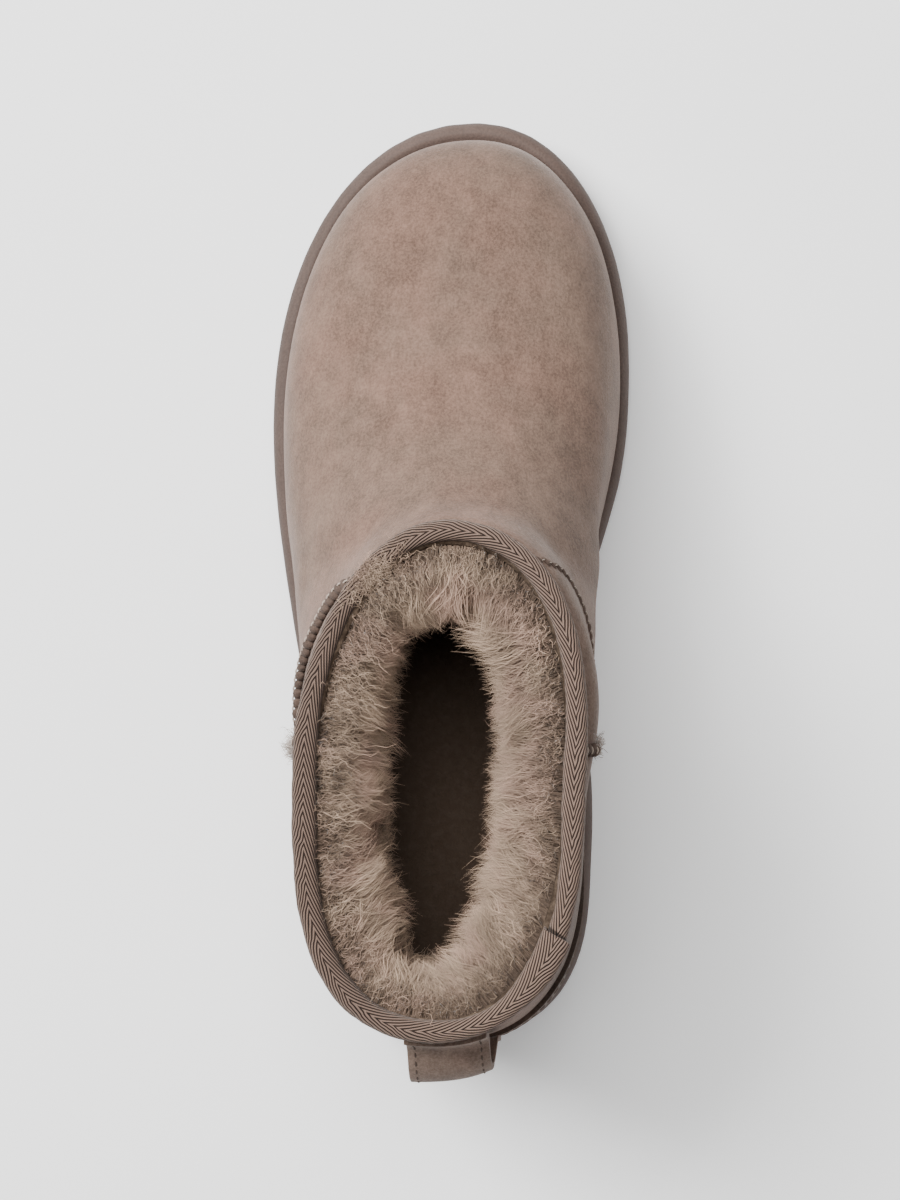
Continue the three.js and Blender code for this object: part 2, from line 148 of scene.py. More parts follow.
class ShaderBook:
    """Writes the nodes of one material around a Principled shader."""

    def __init__(self, name: str, **constants: float | tuple) -> None:
        """Starts a material.

        Args:
            name: the material's name.
            constants: Principled sockets that are the same all over, with _ for each space.
        """
        self.material = bpy.data.materials.new(name)
        self.material.use_nodes = True
        self.tree = self.material.node_tree
        self.shader = self.tree.nodes["Principled BSDF"]
        for socket, value in constants.items():
            self.shader.inputs[socket.replace("_", " ")].default_value = value

    def node(self, kind: str, settings: dict, values: dict, output: int | str = 0) -> Signal:
        """Adds a node.

        Args:
            kind: the node's type.
            settings: its own properties, set before its sockets.
            values: what each input socket gets, a number, a tuple or a Signal.
            output: which output socket to return.

        Returns:
            The chosen output.
        """
        made = self.tree.nodes.new(kind)
        for name, value in settings.items():
            setattr(made, name, value)
        for key, value in values.items():
            if isinstance(value, Signal):
                self.tree.links.new(value.socket, made.inputs[key])
            else:
                made.inputs[key].default_value = value
        return Signal(self, made.outputs[output])

    def place(self, scale: Triple = (1, 1, 1), turn: tuple = (0, 0, 0)) -> Signal:
        """Object coordinates, scaled and turned."""
        where = self.node("ShaderNodeTexCoord", {}, {}, "Object")
        return self.node("ShaderNodeMapping", {}, {"Vector": where, "Scale": scale, "Rotation": turn})

    def axis(self, number: int) -> Signal:
        """One of the Object coordinates: 0 along the boot, 1 across it, 2 up."""
        return self.node("ShaderNodeSeparateXYZ", {}, {0: self.place()}, number)

    def noise(self, where: Signal, scale: float, detail: float = 2.0, rough: float = 0.5) -> Signal:
        """Smooth noise from 0 to 1, with scale bumps in each metre."""
        values = {"Vector": where, "Scale": scale, "Detail": detail, "Roughness": rough}
        return self.node("ShaderNodeTexNoise", {}, values, "Fac")

    def blend(self, factor: Signal | float, first: "Signal | Colour", second: "Signal | Colour") -> Signal:
        """Mixes two colours: a factor of 0 gives the first one and 1 the second."""
        ends = [c if isinstance(c, Signal) else (*c, 1.0) for c in (first, second)]
        return self.node("ShaderNodeMix", {"data_type": "RGBA"}, {0: factor, 6: ends[0], 7: ends[1]}, 2)

    def split(self, kind: str, values: Signal) -> tuple[Signal, Signal, Signal]:
        """The three parts of a vector (kind "XYZ") or a colour (kind "Color")."""
        first = self.node("ShaderNodeSeparate" + kind, {}, {0: values})
        return tuple(Signal(self, socket) for socket in first.socket.node.outputs)

    def shade(self, colour: Signal, amount: Signal) -> Signal:
        """A colour made darker or lighter: 1 leaves it as it is."""
        grey = self.node("ShaderNodeCombineXYZ", {}, {0: amount, 1: amount, 2: amount})
        return self.node("ShaderNodeVectorMath", {"operation": "MULTIPLY"}, {0: colour, 1: grey})

    def finish(
        self, colour: Signal, height: Signal | None = None, depth: float = 0.0, rough: Signal | None = None
    ) -> Material:
        """Joins what varies over the surface to the shader.

        Args:
            colour: base colour.
            height: bump height from 0 to 1.
            depth: how deep that bump is, in metres.
            rough: roughness.

        Returns:
            The finished material.
        """
        self.tree.links.new(colour.socket, self.shader.inputs["Base Color"])
        if rough is not None:
            self.tree.links.new(rough.socket, self.shader.inputs["Roughness"])
        if height is not None:
            bump = self.node("ShaderNodeBump", {}, {"Height": height, "Strength": 1.0, "Distance": depth})
            self.tree.links.new(bump.socket, self.shader.inputs["Normal"])
        return self.material


# ---------------------------------------------------------------- finishes


def toned(colour: Colour, share: float) -> Colour:
    """A colour with each of its parts multiplied."""
    return tuple(part * share for part in colour)


@dataclass(frozen=True)
class Suede:
    """Brushed hide: a soft nap in two close hues, lighter where it is seen at a slant."""

    name: str = "suede"
    rosy: Colour = (0.170, 0.104, 0.078)
    olive: Colour = (0.154, 0.103, 0.078)
    sheen: float = 0.22
    # How much painted shade darkens the inner side at the heel, and where that fades, across the boot and
    # along it.
    painted_shade: float = 0.5
    painted_shade_across: Pair = (-38 * MM, -12 * MM)
    painted_shade_ankle: Pair = (-5 * MM, 60 * MM)
    painted_shade_instep: Pair = (100 * MM, 160 * MM)
    # How many bumps a metre each layer has.
    patch_scale: float = 24.0
    cloud_scale: float = 60.0
    mottle_scale: float = 210.0
    brush_scale: float = 520.0
    grain_scale: float = 1300.0
    # The darkest hide, and how much each layer lightens it.
    darkest: float = 0.40
    cloud_share: float = 0.22
    mottle_share: float = 0.18
    brush_share: float = 0.26
    grain_share: float = 0.42
    nap_depth: float = 0.3 * MM

    def material(self) -> Material:
        """Writes the suede.

        Returns:
            The finished material.
        """
        book = ShaderBook(
            self.name, Roughness=0.95, Specular_IOR_Level=0.12,
            Sheen_Weight=self.sheen, Sheen_Roughness=0.4, Sheen_Tint=(0.92, 0.85, 0.80, 1),
        )
        where = book.place()
        patches = book.noise(where, self.patch_scale, 4.0, 0.6).step(0.34, 0.68)
        colour = book.blend(patches, self.olive, self.rosy)
        clouds = book.noise(book.place((1.0, 1.5, 1.2)), self.cloud_scale, 4.0, 0.6)
        brushed = book.noise(book.place((0.35, 1.2, 1.2), (0, 0, 0.4)), self.brush_scale, 3.0, 0.6)
        grain = book.noise(where, self.grain_scale, 3.0, 0.75)
        mottle = book.noise(where, self.mottle_scale, 3.0, 0.6)
        inner = 1 - book.axis(1).step(*self.painted_shade_across)
        back = 1 - 0.6 * book.axis(0).step(*self.painted_shade_ankle) - 0.4 * book.axis(0).step(*self.painted_shade_instep)
        amount = self.darkest + self.cloud_share * clouds.step(*SOFT)
        amount = amount + self.mottle_share * mottle.step(*SOFT)
        amount = amount + self.brush_share * brushed + self.grain_share * grain.step(*SOFT)
        # Painted shade on the inner side, strongest at the heel.
        amount = amount * (1 - self.painted_shade * inner * back)
        height = 0.65 * grain + 0.35 * brushed
        return book.finish(book.shade(colour, amount), height, self.nap_depth)


@dataclass(frozen=True)
class FoamSole:
    """Moulded foam with a fine pebbled skin."""

    name: str = "foam_sole"
    colour: Colour = (0.090, 0.061, 0.050)
    pebble_scale: float = 1500.0
    pebble_depth: float = 0.12 * MM
    cloud_scale: float = 60.0
    cloud_tone: float = 1.12
    # Where the foam is painted darker towards the outer side: painted shade.
    outer_shade_span: Pair = (15 * MM, 58 * MM)

    def material(self) -> Material:
        """Writes the foam.

        Returns:
            The finished material.
        """
        book = ShaderBook(self.name, Specular_IOR_Level=0.3)
        where = book.place()
        pebble = book.noise(where, self.pebble_scale, 2.0, 0.6)
        cloud = book.noise(where, self.cloud_scale, 3.0)
        colour = book.blend(cloud.step(*SOFT), self.colour, toned(self.colour, self.cloud_tone))
        # The last term is painted shade on the outer side.
        amount = 0.84 + 0.24 * pebble.step(*SOFT) - 0.2 * book.axis(1).step(*self.outer_shade_span)
        return book.finish(book.shade(colour, amount), pebble, self.pebble_depth, 0.62 + 0.2 * pebble)


@dataclass(frozen=True)
class Twill:
    """Herringbone tape. Its UV map runs in metres: along the tape, and across it from the middle."""

    name: str = "binding_twill"
    colour: Colour = (0.105, 0.071, 0.055)
    # The tone in the grooves between ribs, and on top of the ribs.
    groove_tone: float = 0.1
    rib_tone: float = 1.85
    # The distance between ribs, how far they lean off the tape's line, and the width of their columns.
    pitch: float = 0.76 * MM
    lean: float = math.radians(17)
    column: float = 5.2 * MM
    # Where the lap ends along the tape, and how it slants across it.
    lap_end: float = 12.0 * MM
    lap_slant: float = -0.27
    # The shadow beside the lap's end: how far off it lies, its half width to its darkest and to its edge.
    shadow_at: float = 0.35 * MM
    shadow_span: Pair = (0.35 * MM, 0.95 * MM)
    shadow_tone: float = 0.22
    # How far the weave strays across and along the tape, and how many strays a metre.
    stray: Pair = (1.2 * MM, 0.8 * MM)
    stray_scale: float = 160.0
    # The distance between yarns along a rib, as a share of the pitch.
    yarn: float = 0.62
    fuzz_scale: float = 2600.0
    relief: float = 0.22 * MM
    # Where the tape is painted darker towards the outer side: painted shade.
    outer_shade_span: Pair = (-20 * MM, 36 * MM)

    def material(self) -> Material:
        """Writes the twill.

        Returns:
            The finished material.
        """
        book = ShaderBook(
            self.name, Roughness=0.85, Specular_IOR_Level=0.15,
            Sheen_Weight=0.15, Sheen_Roughness=0.4, Sheen_Tint=(0.9, 0.82, 0.76, 1),
        )
        uv = book.node("ShaderNodeUVMap", {"uv_map": "tape"}, {})
        along, across, _ = book.split("XYZ", uv)
        wander = book.noise(book.place(), self.stray_scale, 2.0) - 0.5
        aside = abs(across + wander * self.stray[0]).zigzag(self.column)
        phase = aside * math.cos(self.lean) - along * math.sin(self.lean) + wander * self.stray[1]
        rib = ((phase / self.pitch).zigzag(0.5) * 2.0).step(0.12, 0.82)
        yarn = ((along * math.cos(self.lean) + aside) / (self.yarn * self.pitch)).zigzag(0.5) * 2.0
        fuzz = book.noise(book.place(), self.fuzz_scale, 2.0)
        colour = book.blend(rib, toned(self.colour, self.groove_tone), toned(self.colour, self.rib_tone))
        outer = book.axis(1).step(*self.outer_shade_span)
        past = along - across * self.lap_slant - (self.lap_end + self.shadow_at)
        # The outer term is painted shade on the outer side.
        amount = 0.56 + 0.25 * fuzz + 0.66 * yarn - 0.21 * outer
        amount = amount * (self.shadow_tone + (1 - self.shadow_tone) * abs(past).step(*self.shadow_span))
        return book.finish(book.shade(colour, amount), 0.8 * rib + 0.2 * yarn, self.relief)


@dataclass(frozen=True)
class Wool:
    """Dyed fleece.

    The vertex colour's red is how far along a fibre a point is, its green the fibre's tone, with painted
    light and shade in it, and its blue how far its dark root, painted shade, reaches.
    """

    name: str = "wool"
    root: Colour = (0.105, 0.071, 0.050)
    tip: Colour = (0.39, 0.28, 0.20)
    rosy: Colour = (0.42, 0.28, 0.21)
    # How many patches a metre: of the tip hues, of dark and light along the locks, and of the bed's curls.
    hue_scale: float = 70.0
    mottle_scale: float = 190.0
    curl_scale: float = 420.0
    curl_depth: float = 0.9 * MM
    # Painted shade on the bed: heights over which it grows lighter upwards from the dark depths, then darker
    # under the binding, and where that is weaker.
    bed_shade_span: Pair = (20 * MM, 115 * MM)
    rim_shade_span: Pair = (108 * MM, 117 * MM)
    rim_outer_span: Pair = (-20 * MM, 5 * MM)

    def material(self) -> Material:
        """Writes the fleece for strands that carry the lock attribute.

        Returns:
            The finished material.
        """
        book = ShaderBook(self.name, Roughness=0.8, Specular_IOR_Level=0.2, Sheen_Weight=0.2)
        lock = book.node("ShaderNodeAttribute", {"attribute_name": "lock"}, {}, "Color")
        along, tone, dark = book.split("Color", lock)
        ends = book.blend(book.noise(book.place(), self.hue_scale).step(0.45, 0.65), self.tip, self.rosy)
        patches = book.noise(book.place(), self.mottle_scale, 3.0, 0.6) - 0.5
        # The blue channel's painted shade lengthens the dark roots.
        mottled = along - 0.04 * dark + (1.2 + 1.3 * dark) * patches
        colour = book.blend(mottled.step(-0.05, 0.9), self.root, ends)
        return book.finish(book.shade(colour, 0.6 + 0.75 * tone))

    def bed(self) -> Material:
        """Writes the dense undercoat that the strands grow from.

        Returns:
            The finished material.
        """
        book = ShaderBook(self.name + "_bed", Roughness=0.9, Specular_IOR_Level=0.1)
        curls = book.noise(book.place(), self.curl_scale, 4.0, 0.65)
        deep = book.axis(2).step(*self.bed_shade_span)
        rim = book.axis(2).step(*self.rim_shade_span) * (1 - 0.7 * book.axis(1).step(*self.rim_outer_span))
        colour = book.blend(curls.step(0.35, 0.75), toned(self.root, 0.8), toned(self.tip, 0.55))
        # Painted shade: darker deep down and under the binding.
        amount = (0.75 + 0.35 * deep) * (1 - 0.62 * rim)
        return book.finish(book.shade(colour, amount), curls, self.curl_depth)


@dataclass(frozen=True)
class Plain:
    """Thread, cut edges and the floor: one colour with a fine grain."""

    name: str
    colour: Colour
    grain: float = 900.0
    strength: float = 0.25
    roughness: float = 0.8
    glow: float = 0.0
    depth: float = 0.05 * MM

    def material(self) -> Material:
        """Writes the finish.

        Returns:
            The finished material.
        """
        book = ShaderBook(
            self.name, Roughness=self.roughness, Specular_IOR_Level=0.15,
            Emission_Color=(1, 1, 1, 1), Emission_Strength=self.glow,
        )
        speck = book.noise(book.place(), self.grain, 3.0)
        colour = book.blend(speck, self.colour, toned(self.colour, 0.85))
        amount = (1 - self.strength / 2) + self.strength * speck
        return book.finish(book.shade(colour, amount), speck, self.depth)


class Slot(Enum):
    """The record's material slots."""

    SUEDE = "suede"
    FOAM = "foam_sole"
    FLEECE = "fleece"
    TAPE = "binding_tape"


# ---------------------------------------------------------------- modelling by hand


def pick_only(*objects: Piece) -> None:
    """Selects these objects and nothing else, the first one active.

    Args:
        objects: the pieces to select.
    """
    bpy.ops.object.select_all(action="DESELECT")
    for piece in objects:
        piece.select_set(True)
    bpy.context.view_layer.objects.active = objects[0] if objects else None


@contextmanager
def editing(piece: Piece) -> Iterator[None]:
    """Edit mode on one piece, with all of it selected.

    Args:
        piece: the piece to edit.

    Returns:
        Nothing; the piece is back in Object mode afterwards.
    """
    pick_only(piece)
    bpy.ops.object.mode_set(mode="EDIT")
    bpy.ops.mesh.select_all(action="SELECT")
    yield
    bpy.ops.object.mode_set(mode="OBJECT")


def modify(piece: Piece, kind: str, **settings: object) -> None:
    """Adds a modifier to a piece and applies it.

    Args:
        piece: what to modify.
        kind: the modifier's type.
        settings: its properties.
    """
    pick_only(piece)
    modifier = piece.modifiers.new(kind.lower(), kind)
    for name, value in settings.items():
        setattr(modifier, name, value)
    bpy.ops.object.modifier_apply(modifier=modifier.name)


def soft_edges(angle: float) -> dict:
    """Settings of a bevel that rounds only the edges sharper than an angle."""
    return {"segments": 2, "limit_method": "ANGLE", "angle_limit": angle}


def dress(piece: Piece, material: Material, slot: Slot, *nodes: str, smooth: bool = True) -> None:
    """Gives a finished piece its finish, attaches it to the body that it rides on, and hides the CAD nodes
    that it stands for.

    Args:
        piece: the finished piece.
        material: its finish.
        slot: the record's slot that it belongs to; not used.
        nodes: the CAD nodes that it stands for, if any.
        smooth: whether its faces are shaded smooth.
    """
    piece.data.materials.clear()
    piece.data.materials.append(material)
    pick_only(piece)
    if smooth:
        bpy.ops.object.shade_smooth()
    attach(piece, "root")
    if nodes:
        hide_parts(*nodes)
    log.info("%s: %d faces", piece.name, len(piece.data.polygons))


def copy_of_node(node: str, name: str) -> Piece:
    """A merged copy of a frame node with its triangles paired into quads.

    Args:
        node: the CAD node.
        name: the new piece's name.

    Returns:
        The piece.
    """
    pick_only(frame["nodes"][node])
    bpy.ops.object.duplicate()
    piece = bpy.context.object
    piece.name = name
    piece.parent = None
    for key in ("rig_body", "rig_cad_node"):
        del piece[key]
    with editing(piece):
        bpy.ops.mesh.remove_doubles(threshold=WELD)
        bpy.ops.mesh.tris_convert_to_quads(face_threshold=math.pi, shape_threshold=math.pi)
    return piece


def select_faces(piece: Piece, wanted: Callable[[bpy.types.MeshPolygon], bool]) -> None:
    """Selects the faces of a piece that a test picks, by their place or normal.

    Args:
        piece: the piece.
        wanted: tells whether a face is picked.
    """
    for part in (piece.data.vertices, piece.data.edges):
        part.foreach_set("select", np.zeros(len(part), bool))
    for face in piece.data.polygons:
        face.select = wanted(face)


def points_of(piece: Piece, what: str = "co") -> Array:
    """Reads a piece's vertices.

    Args:
        piece: the piece to read.
        what: "co" for their places or "normal" for their normals.

    Returns:
        One row for each vertex.
    """
    flat = np.zeros(len(piece.data.vertices) * 3, np.float32)
    piece.data.vertices.foreach_get(what, flat)
    return flat.reshape(-1, 3).astype(float)


def move_points(piece: Piece, points: Array) -> None:
    """Puts a piece's vertices at these points."""
    piece.data.vertices.foreach_set("co", points.astype(np.float32).ravel())
    piece.data.update()


def skin_through(name: str, rows: Array, round_columns: bool = False) -> Piece:
    """Draws a primitive grid over rows of points.

    Args:
        name: the piece's name.
        rows: points by row, then along each row.
        round_columns: whether each row's end joins its start.

    Returns:
        The piece.
    """
    if round_columns:
        rows = np.concatenate([rows, rows[:, :1]], 1)
    count, size = rows.shape[:2]
    pick_only()
    bpy.ops.mesh.primitive_grid_add(x_subdivisions=size - 1, y_subdivisions=count - 1)
    piece = bpy.context.object
    piece.name = name
    move_points(piece, rows.reshape(-1, 3))
    if round_columns:
        with editing(piece):
            bpy.ops.mesh.remove_doubles(threshold=WELD)
    return piece


def bell(values: Array, middle: float, width: float) -> Array:
    """1 at the middle of a range, falling off smoothly on both sides of it."""
    return np.exp(-(((values - middle) / width) ** 2))


def bead(segments: int, rings: int) -> Piece:
    """Models a bead 1 long, 1 wide and 1 high, with its poles at its ends.

    Args:
        segments: faces round it.
        rings: rows of faces from pole to pole.

    Returns:
        The bead.
    """
    pick_only()
    bpy.ops.mesh.primitive_uv_sphere_add(
        segments=segments, ring_count=rings, radius=0.5, rotation=(0, math.pi / 2, 0)
    )
    bpy.ops.object.transform_apply(rotation=True)
    return bpy.context.object


def link_mesh(name: str, mesh: bpy.types.Mesh) -> Piece:
    """Puts a mesh into the scene as a piece.

    Args:
        name: the piece's name.
        mesh: its mesh.

    Returns:
        The piece.
    """
    piece = bpy.data.objects.new(name, mesh)
    bpy.context.scene.collection.objects.link(piece)
    return piece


def from_lowest(face: Sequence[int]) -> tuple[int, ...]:
    """A face's corners in their order, from the lowest on."""
    start = list(face).index(min(face))
    return (*face[start:], *face[:start])


def strew(name: str, pattern: Piece, places: Sequence[Array]) -> Piece:
    """Copies a small modelled pattern to many places as one mesh, and removes the pattern.

    Args:
        name: the new piece's name.
        pattern: what to copy, modelled about the origin.
        places: a 4 by 4 matrix for each copy.

    Returns:
        The piece.
    """
    points = points_of(pattern)
    # Sorted, because a primitive's faces don't come in the same order each time.
    faces = sorted(from_lowest(tuple(face.vertices)) for face in pattern.data.polygons)
    turned = np.concatenate([points @ m[:3, :3].T + m[:3, 3] for m in places])
    shifted = [tuple(v + n * len(points) for v in face) for n in range(len(places)) for face in faces]
    mesh = bpy.data.meshes.new(name)
    mesh.from_pydata(turned.tolist(), [], shifted)
    bpy.data.objects.remove(pattern, do_unlink=True)
    return link_mesh(name, mesh)


def place_on(point: Array, along: Array, normal: Array, size: Sequence[float]) -> Array:
    """The matrix that puts X along a line, Z along a normal and the origin on a point, stretched by size.

    Args:
        point: where the origin goes.
        along: the line's direction.
        normal: the surface's normal.
        size: the stretch along X, Y and Z.

    Returns:
        A 4 by 4 matrix.
    """
    x = along - normal * (along @ normal)
    x /= np.linalg.norm(x)
    matrix = np.eye(4)
    matrix[:3, 0] = x * size[0]
    matrix[:3, 1] = np.cross(normal, x) * size[1]
    matrix[:3, 2] = normal * size[2]
    matrix[:3, 3] = point
    return matrix


def face_towards(piece: Piece, face: int, way: Sequence[float]) -> None:
    """Flips an open sheet's faces if the given face doesn't look this way.

    Args:
        piece: the sheet.
        face: the number of the face that is tested.
        way: where it is to look.
    """
    if piece.data.polygons[face].normal.dot(Vector(way)) < 0:
        with editing(piece):
            bpy.ops.mesh.flip_normals()


def turn_outwards(piece: Piece) -> None:
    """Makes a closed piece's faces point out."""
    with editing(piece):
        bpy.ops.mesh.normals_make_consistent(inside=False)


def joined(name: str, parts: Sequence[Piece]) -> Piece:
    """Joins parts into one piece with this name.

    Args:
        name: the piece's name.
        parts: what to join.

    Returns:
        The piece.
    """
    pick_only(*parts)
    bpy.ops.object.join()
    piece = bpy.context.object
    piece.name = name
    return piece


class Track:
    """A line drawn on the hide: points a fixed step apart, with the surface's normals."""

    # How far to each side of a point the line's direction is read.
    reach: float = 0.6 * MM

    def __init__(self, spots: Sequence[tuple[Vector, Vector]]) -> None:
        """Takes closely spaced points on the surface with their normals.

        Args:
            spots: a point and a normal for each step.
        """
        self.points = np.array([tuple(p) for p, _ in spots])
        self.normals = np.array([tuple(n) for _, n in spots])
        steps = np.linalg.norm(np.diff(self.points, axis=0), axis=1)
        self.lengths = np.r_[0, np.cumsum(steps)]

    @property
    def length(self) -> float:
        """The whole line's length."""
        return float(self.lengths[-1])

    def at(self, distance: float) -> tuple[Array, Array, Array]:
        """The point, the direction along the line and the normal at a distance from its start.

        Args:
            distance: how far along the line, in metres.

        Returns:
            The point, the direction and the normal.
        """
        normal = self._pick(self.normals, distance)
        ahead, behind = (self._pick(self.points, distance + way) for way in (self.reach, -self.reach))
        along = ahead - behind
        point = self._pick(self.points, distance)
        return point, along / np.linalg.norm(along), normal / np.linalg.norm(normal)

    def _pick(self, values: Array, distance: float) -> Array:
        """One row of values at a distance."""
        return np.array([np.interp(distance, self.lengths, values[:, k]) for k in range(3)])

    def place(self, distance: float, size: Sequence[float], turn: float = 0.0, stand: float = 0.0) -> Array:
        """The place of one small piece laid on the line.

        Args:
            distance: how far along the line, in metres.
            size: the piece's size along itself, across and upwards.
            turn: how far it is turned from the line, in radians.
            stand: how far it stands off the surface, in millimetres.

        Returns:
            A 4 by 4 matrix.
        """
        point, along, normal = self.at(distance)
        way = along * math.cos(turn) + np.cross(normal, along) * math.sin(turn)
        return place_on(point + normal * stand * MM, way, normal, size)


class Rays:
    """Finds points on a piece by casting rays at it."""

    def __init__(self, piece: Piece) -> None:
        """Builds the search tree from the piece's mesh as it is now."""
        corners = [v.co.copy() for v in piece.data.vertices]
        self.tree = BVHTree.FromPolygons(corners, [tuple(p.vertices) for p in piece.data.polygons])

    def hit(self, start: Sequence[float], towards: Sequence[float]) -> tuple[Vector, Vector] | None:
        """The first point that a ray meets and the normal there, or None."""
        place, normal, _, _ = self.tree.ray_cast(Vector(start), Vector(towards).normalized())
        return None if place is None else (place, normal)

    def around(self, axis: Pair, angle: float, height: float) -> tuple[Vector, Vector] | None:
        """The surface at an angle and height about an upright axis, seen from it, with its outward normal.

        Args:
            axis: where the axis stands.
            angle: the direction from it, in radians.
            height: the height, in metres.

        Returns:
            The point and the normal, or None past the piece's edge.
        """
        way = Vector((math.cos(angle), math.sin(angle), 0))
        found = self.hit((*axis, height), way)
        if found is None:
            return None
        place, normal = found
        return place, normal if normal.dot(way) > 0 else -normal


# ---------------------------------------------------------------- upper


@dataclass
class Upper:
    """The sewn sheepskin: its hide with soft folds, and the fleece bed inside."""

    smooth_levels: int = 2
    middle_lines: Sequence[tuple] = (((28, 1, 70), (32, 1, 160)), ((-5, 1, 45), (172, 5, 37)))
    # Soft folds in millimetres: where each one runs from and to, its width, and its depth (less than 0 is
    # a ridge).
    folds: Sequence[tuple] = (
        ((96, 24, 98), (86, 40, 74), 9, 0.9),
        ((104, 10, 92), (98, 34, 76), 12, -0.7),
        ((94, -26, 98), (82, -37, 76), 9, 0.9),
        ((110, -12, 88), (92, -34, 70), 12, -0.6),
        ((118, -24, 66), (84, -38, 52), 14, 0.8),
        ((122, 26, 66), (92, 44, 48), 14, 0.8),
        ((-38, 12, 84), (-36, -16, 80), 9, 0.6),
    )
    # How sharply a fold falls off, and the hide's own unevenness: its depth and how many bumps a metre.
    fold_fall: float = 3.0
    uneven: Pair = (0.35, 45.0)
    # Above this height a level face is the collar's rim.
    rim_from: float = 115.0
    collar_height: float = 125.0
    collar_slope: float = 0.055
    collar_from: float = 32.0
    # How deep the binding draws the hide in, from how far below the collar, and over what height.
    pinch: float = 1.7
    pinch_reach: Pair = (15.5, 8.0)
    # The swell under the binding: its height, where its middle lies below the collar and how wide it is.
    swell: float = 0.7
    swell_reach: Pair = (19.0, 7.0)
    inner_swell: float = 2.2
    back_hollow: float = 1.8
    # Directions about the shaft, and widths, of the inner swell and of the hollow, in radians.
    shaft_middle: float = 31.5
    inner_front: Pair = (-1.0, 0.45)
    inner_back: Pair = (-2.2, 0.5)
    # How much less the binding draws the hide in over the hollow.
    hollow_ease: float = 0.7
    # How far the hide's foot drops behind the sole's rim, below what height, and within what distance of it.
    tuck: float = 2.0
    tuck_below: float = 26.0
    tuck_reach: float = 3.0
    # The fleece bed's bumps, as depth and number a metre, and how far below the collar they start and end.
    ruffles: Sequence[Pair] = ((1.2, 150.0), (1.0, 60.0))
    ruffle_reach: Pair = (6.0, 10.0)
    hide: Piece = field(init=False)
    bed: Piece = field(init=False)

    def build(self) -> None:
        """Splits the upper's solid into its hide and its fleece bed and smooths both."""
        whole = copy_of_node("upper", "hide")
        select_faces(whole, self._is_inside)
        pick_only(whole)
        bpy.ops.object.mode_set(mode="EDIT")
        bpy.ops.mesh.separate(type="SELECTED")
        bpy.ops.object.mode_set(mode="OBJECT")
        self.hide = whole
        self.bed = next(o for o in bpy.context.selected_objects if o is not whole)
        self.bed.name = "fleece_bed"
        for piece in (self.hide, self.bed):
            modify(piece, "SUBSURF", levels=self.smooth_levels, render_levels=self.smooth_levels)
        self._fold()
        self._pinch()
        self._tuck()
        self._ruffle()

    def _is_inside(self, face: bpy.types.MeshPolygon) -> bool:
        """Whether a face looks at the middle line of the foot and the shaft, or lies on the collar's rim.

        Args:
            face: a face of the upper.

        Returns:
            True for the fleece's side.
        """
        nearest = None
        for start, end in self.middle_lines:
            a, b = Vector(start) * MM, Vector(end) * MM
            share = min(1, max(0, (face.center - a).dot(b - a) / (b - a).length_squared))
            away = face.center - (a + (b - a) * share)
            if nearest is None or away.length < nearest.length:
                nearest = away
        on_top = face.normal.z > 0.5 and face.center.z > self.rim_from * MM
        return on_top or nearest.dot(face.normal) < 0

    def _fold(self) -> None:
        """Presses the soft folds into the hide."""
        points, normals = points_of(self.hide), points_of(self.hide, "normal")
        push = np.zeros(len(points))
        for start, end, width, depth in self.folds:
            a, b = np.array(start) * MM, np.array(end) * MM
            share = np.clip((points - a) @ (b - a) / ((b - a) @ (b - a)), 0, 1)
            away = np.linalg.norm(points - (a + share[:, None] * (b - a)), axis=1)
            push -= depth * MM * np.exp(-((away / (width * MM)) ** 2) * self.fold_fall)
        depth, scale = self.uneven
        soft = [depth * MM * noise.noise(Vector(p) * scale) for p in points]
        move_points(self.hide, points + normals * (push + np.array(soft))[:, None])

    def _tuck(self) -> None:
        """Runs the hide's lower edge down behind the sole's rim."""
        points = points_of(self.hide)
        rays = Rays(frame["nodes"]["outsole"])
        for k in np.flatnonzero(points[:, 2] < self.tuck_below * MM):
            found = rays.hit((points[k, 0], points[k, 1], ABOVE_SOLE), (0, 0, -1))
            if found:
                near = 1 - min(1, max(0, (points[k, 2] - found[0].z) / (self.tuck_reach * MM)))
                points[k, 2] -= self.tuck * MM * near
        move_points(self.hide, points)

    def _below_collar(self, points: Array) -> Array:
        """How far each point lies below the collar's slanting edge."""
        rise = self.collar_slope * (points[:, 0] - self.collar_from * MM)
        return self.collar_height * MM + rise - points[:, 2]

    def _pinch(self) -> None:
        """Draws the hide in under the binding and lets it swell out below it."""
        points, normals = points_of(self.hide), points_of(self.hide, "normal")
        normals[:, 2] = 0
        below = self._below_collar(points) / MM
        inwards = np.clip((self.pinch_reach[0] - below) / self.pinch_reach[1], 0, 1)
        inwards = inwards * inwards * (3 - 2 * inwards)
        swell = bell(below, *self.swell_reach)
        turn = np.arctan2(points[:, 1], points[:, 0] - self.shaft_middle * MM)
        front_inner = bell(turn, *self.inner_front)
        back_inner = bell(turn, *self.inner_back)
        swell *= self.swell + self.inner_swell * front_inner - self.back_hollow * back_inner
        push = swell - self.pinch * inwards * (1 - self.hollow_ease * back_inner)
        move_points(self.hide, points + normals * (push * MM)[:, None])

    def _ruffle(self) -> None:
        """Makes the fleece bed uneven."""
        points, normals = points_of(self.bed), points_of(self.bed, "normal")
        push = [sum(d * MM * noise.noise(Vector(p) * scale) for d, scale in self.ruffles) for p in points]
        start, reach = self.ruffle_reach
        free = np.clip((self._below_collar(points) / MM - start) / reach, 0, 1)
        move_points(self.bed, points + normals * (np.array(push) * free)[:, None])

    def dress(self, suede: Material, wool: Material) -> None:
        """Gives the hide and the bed their finishes."""
        dress(self.hide, suede, Slot.SUEDE, "upper")
        dress(self.bed, wool, Slot.FLEECE, "upper")


# ---------------------------------------------------------------- collar binding


